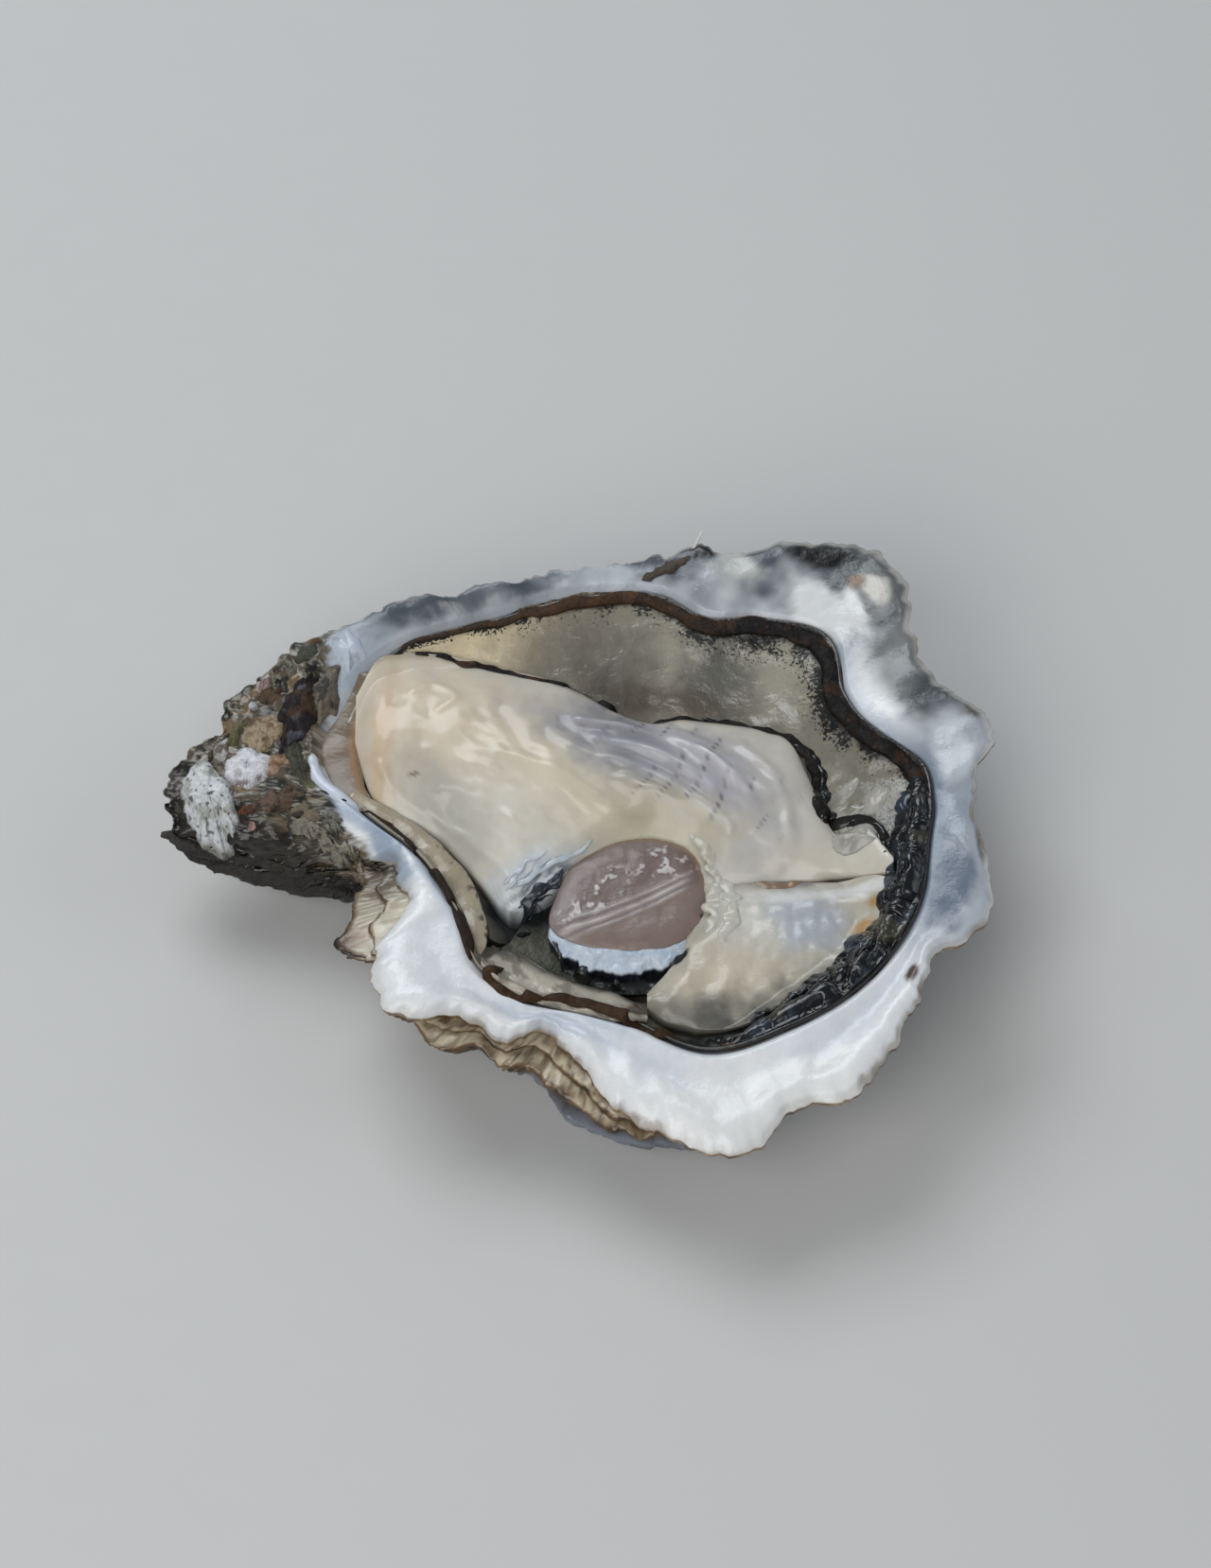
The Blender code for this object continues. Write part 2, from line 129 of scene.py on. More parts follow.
def throughPoints(points, count):
    # an open smooth curve through a few places, evenly stepped
    knots = np.array(points, float)
    steps = np.concatenate(((0,), np.cumsum(np.linalg.norm(np.diff(knots[:, :2], axis=0), axis=1))))
    fine = np.linspace(0, steps[-1], count)
    return np.stack([smoothCurve(steps, knots[:, k], fine) for k in range(knots.shape[1])], axis=1)


# colour

def hue(red, green, blue):
    # an everyday 0 to 255 colour as the light that it is
    value = np.array((red, green, blue)) / 255
    return np.where(value < 0.04045, value / 12.92, ((value + 0.055) / 1.055) ** 2.4)


def tint(tones, colour, weight):
    weight = np.clip(np.asarray(weight), 0, 1)[..., None]
    return tones * (1 - weight) + np.asarray(colour) * weight


def patch(points, x, y, halfLong, halfWide, turn=0, soft=0.4, ragged=0.25, size=2.5, seed=5):
    # 1 inside a soft oval on the plan, 0 outside it, its edge uneven
    angle = math.radians(turn)
    dx, dy = points[..., 0] - x, points[..., 1] - y
    a = (dx * math.cos(angle) + dy * math.sin(angle)) / halfLong
    b = (dy * math.cos(angle) - dx * math.sin(angle)) / halfWide
    far = np.hypot(a, b) + grit(points, size, 3, seed) * ragged
    return 1 - smooth(far, 1 - soft, 1 + soft)


def covered(points, colour):
    # one base colour for every place of a net
    return np.tile(colour, (*points.shape[:-1], 1))


def marked(tones, points, rows):
    # soft marks, one over another
    for x, y, halfLong, halfWide, turn, soft, colour, strength, *ragged in rows:
        tones = tint(tones, hue(*colour), patch(points, x, y, halfLong, halfWide, turn, soft, *ragged) * strength)
    return tones


# meshes

def netFaces(rows, columns, closed=True):
    row, column = np.meshgrid(np.arange(rows - 1), np.arange(columns if closed else columns - 1), indexing="ij")
    after = (column + 1) % columns
    first = row * columns
    return np.stack((first + column, first + after, first + columns + after, first + columns + column),
                    axis=-1).reshape(-1, 4)


def net(grid):
    # a tube of rings, closed with one point at each end
    rows, columns = grid.shape[:2]
    points = np.concatenate((grid.reshape(-1, 3), grid[:1].mean(axis=1), grid[-1:].mean(axis=1)))
    quads = netFaces(rows, columns)
    start, end = rows * columns, rows * columns + 1
    column = np.arange(columns)
    after = (column + 1) % columns
    caps = [(start, int(b), int(a)) for a, b in zip(column, after)]
    last = (rows - 1) * columns
    caps += [(end, int(last + a), int(last + b)) for a, b in zip(column, after)]
    return points, quads, caps


def volume(points, quads, caps):
    tris = np.concatenate((quads[:, (0, 1, 2)], quads[:, (0, 2, 3)], np.array(caps)))
    a, b, c = points[tris[:, 0]], points[tris[:, 1]], points[tris[:, 2]]
    return np.einsum("ij,ij->i", a, np.cross(b, c)).sum() / 6


def normalsOf(points, quads):
    across = points[quads[:, 2]] - points[quads[:, 0]]
    down = points[quads[:, 3]] - points[quads[:, 1]]
    face = np.cross(across, down)
    total = np.zeros_like(points)
    for corner in range(4):
        np.add.at(total, quads[:, corner], face)
    length = np.linalg.norm(total, axis=1, keepdims=True)
    return total / np.maximum(length, 1e-12)


def nearPath(points, path, wide, count=80):
    # 1 on a smooth line over the plan, falling away to its sides
    line = throughPoints(path, count)[:, :2]
    far = np.full(points.shape[:-1], 99.0)
    for x, y in line:
        far = np.minimum(far, np.hypot(points[..., 0] - x, points[..., 1] - y))
    return np.exp(-(far / wide) ** 2)


def makeCluster(name, parts, finish):
    # several loose nets in one piece; a part is its grid and its colours
    points, faces, tones = [], [], []
    start = 0
    for grid, colours in parts:
        place, quads, caps = net(grid)
        if volume(place, quads, caps) < 0:
            quads = quads[:, ::-1]
            caps = [face[::-1] for face in caps]
        points.append(place)
        tones.append(np.concatenate((colours.reshape(-1, 3), colours[:1].mean(axis=1), colours[-1:].mean(axis=1))))
        faces += (quads + start).tolist() + [tuple(v + start for v in face) for face in caps]
        start += len(place)
    return meshPiece(name, np.concatenate(points), faces, np.concatenate(tones), finish, ())


def makePiece(name, grid, tones, finish, stands=(), relief=None, dust=None):
    # grid is rings by columns by 3; tones is the same with colours; relief moves points along the normals
    points, quads, caps = net(grid)
    if volume(points, quads, caps) < 0:
        quads = quads[:, ::-1]
        caps = [face[::-1] for face in caps]
    if relief is not None:
        rise = np.concatenate((relief.reshape(-1), (0, 0)))
        points = points + normalsOf(points, quads) * rise[:, None]
    tones = np.concatenate((tones.reshape(-1, 3), tones[:1].mean(axis=1), tones[-1:].mean(axis=1)))
    if dust is not None:
        dust = np.concatenate((dust.reshape(-1), dust[0].mean(keepdims=True), dust[-1].mean(keepdims=True)))
    return meshPiece(name, points, quads.tolist() + caps, tones, finish, stands, dust)


def meshPiece(name, points, faces, tones, finish, stands, dust=None):
    mesh = bpy.data.meshes.new(name)
    mesh.from_pydata(((points + cupMiddle) * mm).tolist(), [], faces)
    mesh.shade_smooth()
    layer = mesh.color_attributes.new("tone", "FLOAT_COLOR", "POINT")
    flat = np.ones((len(points), 4), np.float32)
    flat[:, :3] = np.clip(tones, 0, 1)
    layer.data.foreach_set("color", flat.ravel())
    if dust is not None:
        mesh.attributes.new("dust", "FLOAT", "POINT").data.foreach_set("value", dust.astype(np.float32))
    mesh.materials.append(finish)
    piece = bpy.data.objects.new(name, mesh)
    bpy.context.scene.collection.objects.link(piece)
    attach(piece, "root")
    if stands:
        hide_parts(*stands)
    return piece


def surfaceOf(*pieces):
    # one surface to lay things on, in the plan's millimetres
    points, faces = [], []
    for piece in pieces:
        mesh = piece.data
        place = np.empty(len(mesh.vertices) * 3)
        mesh.vertices.foreach_get("co", place)
        start = len(points)
        points.extend((place.reshape(-1, 3) / mm - cupMiddle).tolist())
        faces.extend([[start + v for v in face.vertices] for face in mesh.polygons])
    return BVHTree.FromPolygons(points, faces)


def ground(surface, x, y, missing=0.0):
    hit = surface.ray_cast(Vector((x, y, 60.0)), Vector((0, 0, -1)))[0]
    return missing if hit is None else hit.z


def settle(surface, points, missing=0.0):
    return np.array([ground(surface, p[0], p[1], missing) for p in points])


# finishes

def finish(name, look):
    # the painted tone, mottled; gloss and bump from noise; a wet coat where the look asks for one
    made = bpy.data.materials.new(name)
    made.use_nodes = True
    nodes, links = made.node_tree.nodes, made.node_tree.links
    shader = nodes["Principled BSDF"]
    place = nodes.new("ShaderNodeTexCoord")
    tone = nodes.new("ShaderNodeAttribute")
    tone.attribute_name = "tone"

    def noise(size, detail=4.0, rough=0.55, stretch=None):
        made = nodes.new("ShaderNodeTexNoise")
        made.inputs["Scale"].default_value = 1 / (size * mm)
        made.inputs["Detail"].default_value = detail
        made.inputs["Roughness"].default_value = rough
        source = place.outputs["Object"]
        if stretch:
            turned = nodes.new("ShaderNodeMapping")
            turned.inputs["Rotation"].default_value = (0, 0, math.radians(stretch[0]))
            turned.inputs["Scale"].default_value = (1 / stretch[1], 1, 1)
            links.new(source, turned.inputs["Vector"])
            source = turned.outputs["Vector"]
        links.new(source, made.inputs["Vector"])
        return made.outputs["Fac"]

    def ranged(source, low, high, fromLow=0.3, fromHigh=0.7):
        made = nodes.new("ShaderNodeMapRange")
        made.inputs["From Min"].default_value = fromLow
        made.inputs["From Max"].default_value = fromHigh
        made.inputs["To Min"].default_value = low
        made.inputs["To Max"].default_value = high
        links.new(source, made.inputs["Value"])
        return made.outputs["Result"]

    colour = tone.outputs["Color"]
    for size, low, high in look["mottle"]:
        mix = nodes.new("ShaderNodeMix")
        mix.data_type = "RGBA"
        mix.blend_type = "MULTIPLY"
        mix.inputs["Factor"].default_value = 1.0
        links.new(colour, mix.inputs["A"])
        links.new(ranged(noise(size), low, high), mix.inputs["B"])
        colour = mix.outputs["Result"]
    if "specks" in look:
        size, limit, dark = look["specks"]
        speck = nodes.new("ShaderNodeMix")
        speck.data_type = "RGBA"
        speck.inputs["B"].default_value = (*dark, 1)
        links.new(ranged(noise(size, 3, 0.7), 0, 1, limit, limit + 0.06), speck.inputs["Factor"])
        links.new(colour, speck.inputs["A"])
        colour = speck.outputs["Result"]
    if "dust" in look:
        # fine dark grains, thicker where the mesh says so
        size, dark = look["dust"]
        amount = nodes.new("ShaderNodeAttribute")
        amount.attribute_name = "dust"
        thick = nodes.new("ShaderNodeMath")
        thick.operation = "MULTIPLY_ADD"
        thick.inputs[1].default_value = 0.45
        links.new(amount.outputs["Fac"], thick.inputs[0])
        links.new(noise(size, 3, 0.7), thick.inputs[2])
        grain = nodes.new("ShaderNodeMix")
        grain.data_type = "RGBA"
        grain.inputs["B"].default_value = (*dark, 1)
        links.new(ranged(thick.outputs["Value"], 0, 1, 0.8, 0.84), grain.inputs["Factor"])
        links.new(colour, grain.inputs["A"])
        colour = grain.outputs["Result"]
    links.new(colour, shader.inputs["Base Color"])
    low, high, size = look["rough"]
    links.new(ranged(noise(size), low, high), shader.inputs["Roughness"])
    last = None
    for size, depth, stretch in look["bumps"]:
        bump = nodes.new("ShaderNodeBump")
        bump.inputs["Strength"].default_value = 1.0
        bump.inputs["Distance"].default_value = depth * mm
        links.new(noise(size, look.get("bumpDetail", 5), 0.6, stretch), bump.inputs["Height"])
        if last:
            links.new(last.outputs["Normal"], bump.inputs["Normal"])
        last = bump
    links.new(last.outputs["Normal"], shader.inputs["Normal"])
    shader.inputs["Specular IOR Level"].default_value = look.get("shine", 0.5)
    shader.inputs["Coat Weight"].default_value = look.get("coat", 0.0)
    shader.inputs["Coat Roughness"].default_value = look.get("coatRough", 0.05)
    if look.get("coat"):
        links.new(last.outputs["Normal"], shader.inputs["Coat Normal"])
    if look.get("soak"):
        shader.inputs["Subsurface Weight"].default_value = look["soak"]
        shader.inputs["Subsurface Radius"].default_value = (1.0, 0.7, 0.5)
        shader.inputs["Subsurface Scale"].default_value = look.get("soakReach", 1.5) * mm
    if look.get("clear"):
        shader.inputs["Transmission Weight"].default_value = look["clear"]
        shader.inputs["IOR"].default_value = 1.35
    return made


nacre = finish("nacre", dict(
    mottle=((7, 0.93, 1.03), (1.2, 0.97, 1.02)), rough=(0.2, 0.42, 3), shine=0.45, coat=0.25, coatRough=0.12,
    bumps=((5, 0.25, None), (0.8, 0.04, None)), soak=0.12, soakReach=1.2))
fleshWet = finish("wetFlesh", dict(
    mottle=((5, 0.94, 1.03), (1.0, 0.97, 1.02)), rough=(0.32, 0.46, 2), coat=0.4, coatRough=0.12,
    bumps=((5.6, 0.14, (-32, 3.0)), (1.3, 0.012, (-32, 2.0))), bumpDetail=2, soak=0.35, soakReach=1.8))
foldWet = finish("wetFold", dict(
    mottle=((5, 0.92, 1.04), (1.0, 0.95, 1.03)), rough=(0.3, 0.46, 2), coat=0.35, coatRough=0.12,
    bumps=((5.0, 0.3, (40, 2.0)), (1.1, 0.025, (60, 3.0))), soak=0.35, soakReach=1.8))
mantleWet = finish("wetMantle", dict(
    mottle=((4, 0.9, 1.04), (0.8, 0.94, 1.04)), rough=(0.25, 0.45, 2), coat=0.6, coatRough=0.06,
    bumps=((3.5, 0.3, None), (0.6, 0.05, None)), soak=0.3, soakReach=1.5, dust=(0.42, (0.006, 0.005, 0.003))))
fringeWet = finish("darkFringe", dict(
    mottle=((1.5, 0.6, 1.2), (0.5, 0.75, 1.15)), rough=(0.4, 0.75, 0.8), shine=0.18, coat=0.08, coatRough=0.1,
    bumps=((1.6, 0.3, None), (0.4, 0.08, None))))
frillWet = finish("glossyFrill", dict(
    mottle=((1.6, 0.75, 1.2), (0.5, 0.9, 1.08)), rough=(0.16, 0.34, 1.2), shine=0.35, coat=0.6, coatRough=0.06,
    bumps=((1.8, 0.12, None), (0.6, 0.015, None))))
muscleWet = finish("wetMuscle", dict(
    mottle=((3, 0.93, 1.05), (0.7, 0.95, 1.04)), rough=(0.32, 0.45, 1.5), coat=0.22, coatRough=0.12,
    bumps=((2.5, 0.12, (20, 4.0)), (0.4, 0.03, None)), soak=0.3, soakReach=1.4))
liquorClear = finish("liquor", dict(
    mottle=((2.5, 0.6, 1.2), (0.8, 0.8, 1.1)), rough=(0.25, 0.4, 2), shine=0.12, coat=0.12, coatRough=0.05,
    bumps=((3.0, 0.5, None), (1.0, 0.1, None))))
chalky = finish("chalk", dict(
    mottle=((2, 0.88, 1.06), (0.5, 0.86, 1.08)), rough=(0.5, 0.8, 1), coat=0.1, coatRough=0.2,
    bumps=((1.4, 0.3, None), (0.35, 0.12, None)), specks=(0.55, 0.7, (0.05, 0.045, 0.03))))
crusty = finish("crust", dict(
    mottle=((2, 0.7, 1.15), (0.5, 0.75, 1.15)), rough=(0.45, 0.85, 1), coat=0.15, coatRough=0.2,
    bumps=((1.6, 0.5, None), (0.4, 0.18, None)), specks=(0.5, 0.66, (0.02, 0.018, 0.012))))
print("finishes made")


# shell

shellPlan = dict(
    columns=820, hingeBearing=182, hingeCrowding=0.6, floorTop=4.0, bowlPower=2.8,
    lipRings=34, wallRings=30, lipThick=1.3, thinnest=0.9, leafDrop=1.7, leafTuck=2.4,
    footMiddle=-4.0, footHalf=(16.0, 12.0), bulge=(262, 13, 2.6),
    # leaves under the lip: drop, how far back, how ragged
    leaves=((0.8, -1.35, 0.45), (1.7, 0.0, 0.9), (2.9, -0.7, 1.0), (4.1, -1.3, 1.0), (5.2, -2.2, 0.9)),
    # rounded crest inside the lip: bearing, reach, height
    crest=(
        (0, 34.6, 21.0), (8, 34.0, 21.3), (15, 31.0, 21.6), (24, 29.0, 21.9), (32, 29.3, 22.0),
        (46, 33.4, 22.0), (60, 31.0, 22.0), (74, 28.5, 22.0), (85, 31.0, 22.0), (100, 32.0, 21.7),
        (125, 34.0, 20.6), (143, 39.0, 19.8), (157, 41.0, 18.5), (170, 39.5, 18.0), (178, 34.6, 18.0),
        (188, 29.0, 18.0), (205, 26.2, 17.8), (216, 26.6, 17.5), (226, 28.8, 17.2), (240, 29.0, 16.5),
        (255, 28.0, 16.5), (268, 29.0, 16.5), (283, 33.5, 16.5), (300, 34.6, 17.6), (318, 35.8, 18.8),
        (335, 35.8, 20.0), (350, 34.5, 20.9)),
    # scalloped outer edge: bearing, reach, height
    lip=(
        (0, 39.8, 22.0), (5, 40.6, 22.5), (12, 43.0, 23.5), (22, 39.8, 24.0), (35, 40.2, 24.5),
        (43, 43.8, 25.0), (54, 44.7, 25.0), (63, 40.2, 24.5), (71, 37.2, 24.0), (79, 37.0, 24.0),
        (90, 34.8, 23.0), (102, 34.5, 23.0), (113, 35.0, 22.5), (126, 38.3, 22.0), (138, 43.0, 21.5),
        (147, 46.6, 20.0), (158, 50.5, 18.5), (167, 54.6, 17.0), (173, 57.2, 15.0), (178, 56.0, 13.2),
        (182, 50.0, 12.2), (185, 39.5, 12.6), (189, 32.2, 15.5), (197, 30.3, 16.3), (205, 30.7, 16.5),
        (211, 36.5, 17.0), (226, 38.6, 17.0), (232, 34.6, 16.5), (240, 34.5, 15.5), (249, 30.4, 14.8),
        (255, 32.2, 14.5), (262, 36.1, 14.5), (268, 39.8, 14.8), (275, 42.7, 15.0), (282, 45.8, 15.0),
        (292, 44.0, 16.0), (309, 44.5, 17.5), (318, 41.6, 18.5), (327, 40.0, 19.5), (337, 43.3, 20.5),
        (346, 41.6, 21.6)),
    # first leaf under the lip: bearing, how far it shows past the lip
    leaf=(
        (0, -1.6), (150, -1.6), (172, -1.6), (180, -1.2), (187, 3.6), (194, 4.3), (200, 6.6), (205, 8.8),
        (210, 1.5), (220, -0.6), (227, -0.4), (231, 3.8), (238, 1.2), (247, 4.4), (257, 4.4), (265, 2.2),
        (273, -1.0), (285, -1.6)),
    # the cup's outside: bearing, reach past the crest, fullness
    wall=(
        (0, 4.4, 1.25), (90, 4.0, 1.25), (140, 4.6, 1.2), (175, 6.5, 1.1), (205, 5.5, 1.2),
        (235, 5.5, 1.4), (252, 8.0, 2.0), (268, 9.5, 2.4), (285, 7.0, 1.7), (310, 4.6, 1.3)),
    # how crusted the shell is: bearing, 0 clean to 1 rough
    crust=((0, 0.05), (60, 0.1), (110, 0.1), (140, 0.25), (150, 0.75), (160, 1.0), (186, 1.0), (196, 0.8),
           (205, 0.35), (215, 0.1), (330, 0.05)),
    # where the crust starts: bearing, reach
    crustFrom=((0, 60), (130, 50), (141, 47.5), (148, 44.5), (155, 41.6), (165, 39.3), (172, 38.3), (176, 37.3),
               (183, 34.6), (188, 32.4), (196, 31.6), (205, 33), (215, 46), (230, 60)),
)


def shellRows(bearings):
    # each ring of the shell from the bowl's floor to the foot, with what kind of surface it is
    plan = shellPlan
    turn = np.radians(bearings)
    out = np.stack((np.cos(turn), np.sin(turn), np.zeros_like(turn)), axis=1)
    crestReach, crestHigh = around(plan["crest"], 1, bearings), around(plan["crest"], 2, bearings)
    lipReach, lipHigh = around(plan["lip"], 1, bearings), around(plan["lip"], 2, bearings)
    crusted = around(plan["crust"], 1, bearings)
    edge = out * lipReach[:, None]
    frill = grit(edge, 3.4, 4, 11) * (0.7 + 0.3 * crusted) + lumps(edge, 1.1, 12) * 0.2 + lumps(edge, 6.0, 14) * 0.5
    lipReach = lipReach + frill - 0.3
    lipHigh = lipHigh + lumps(edge, 4.2, 13) * 0.45 - 0.15
    rolled = smooth(bearings, 200, 226) * (1 - smooth(bearings, 318, 342))
    rings, kinds = [], []

    def add(reach, high, kind, share=0.0):
        place = out * np.broadcast_to(reach, turn.shape)[:, None]
        place[:, 2] = high
        rings.append(place)
        kinds.append((kind, share))

    def under(reach, high):
        # never closer than this to the top of the lip
        share = np.clip((reach - crestReach) / (lipReach - crestReach), 0, 1)
        return np.minimum(high, crestHigh + (lipHigh - crestHigh) * share - plan["thinnest"])

    for share in (0.1, 0.3, 0.5, 0.65, 0.78, 0.88, 0.93, 0.97):
        add(crestReach * share, plan["floorTop"] + (crestHigh - plan["floorTop"]) * share ** plan["bowlPower"], "bowl")
    for share in np.linspace(0, 1, plan["lipRings"]):
        swell = 0.1 + 0.45 * math.sin(math.pi * min(1, share * 1.02)) ** 0.8
        reach = crestReach + (lipReach - crestReach) * share
        high = crestHigh + (lipHigh - crestHigh) * share + swell - 0.3 * smooth(share, 0.88, 1.0)
        raised, hollow = [math.exp(-((share - middle) / 0.2) ** 2) for middle in (0.72, 0.3)]
        high = high + rolled * (0.5 * raised - 0.5 * hollow)
        add(reach, high, "lip", share)
    for drop, back in ((0.25, -0.05), (0.55, 0.0), (0.85, 0.05), (plan["lipThick"], 0.5)):
        add(lipReach - back, lipHigh - drop, "edge", drop)
    leafReach = lipReach + around(plan["leaf"], 1, bearings)
    for number, (drop, back, sharp) in enumerate(plan["leaves"]):
        ragged = grit(out * leafReach[:, None] + (0, 0, 31 * number), 3.0, 4, 40 + number) * 0.55 * sharp
        reach = leafReach + back + ragged
        if number == 0:
            reach = np.minimum((lipReach + leafReach) / 2 - 0.3 + ragged, leafReach - 0.4)
            reach = np.maximum(reach, lipReach - 1.6)
        high = lipHigh - drop + lumps(out * reach[:, None] + (0, 0, 9 * number), 3.5, 50 + number) * 0.25
        inner = np.minimum(reach - 2.2, lipReach - 1.0) if number < 3 else reach - 2.2
        add(inner, under(inner, high + 0.3), "leaf", 0.0)
        for share in (0.35, 0.65, 0.88):
            place = inner + (reach - inner) * share
            add(place, under(place, high + 0.3 - 0.3 * share), "leaf", share)
        add(reach, under(reach, high - 0.1), "leafEdge", 0.0)
        add(reach + 0.05, under(reach, high - 0.4), "leafEdge", 0.5)
        add(reach - 0.5, under(reach, high - 0.75), "leafEdge", 1.0)
    bearing, spread, most = plan["bulge"]
    bulge = most * hump(bearings, bearing, spread)
    wallReach = np.minimum(crestReach + around(plan["wall"], 1, bearings), leafReach - most + bulge)
    top = out * wallReach[:, None]
    top[:, 2] = lipHigh - 1.7 - plan["leafDrop"] - plan["leafTuck"]
    foot = out * (*plan["footHalf"], 0.0) + (plan["footMiddle"], 0.0, 0.0)
    power = 2 / around(plan["wall"], 2, bearings)
    for slope in np.linspace(3, 87, plan["wallRings"]):
        share = math.cos(math.radians(slope)) ** power
        low = math.sin(math.radians(slope)) ** power
        place = foot + (top - foot) * share[:, None]
        place[:, 2] = top[:, 2] * (1 - low)
        phase = slope / 8.0 + lumps(out * 14, 9, 61) * 0.5
        step = (phase - np.floor(phase)) ** 3
        worn = 0.35 + 0.5 * np.sin(turn * 5 + slope / 14) + 0.3 * np.sin(turn * 8 + slope / 9)
        swell = step * np.clip(worn + 0.4, 0.1, 1.1) * math.sin(math.radians(slope)) ** 0.3
        place = place + out * swell[:, None]
        place[:, 2] = np.maximum(place[:, 2], 0.02)
        rings.append(place)
        kinds.append(("wall", slope / 90))
    rings.append(foot)
    kinds.append(("wall", 1.0))
    return np.array(rings), kinds, crusted


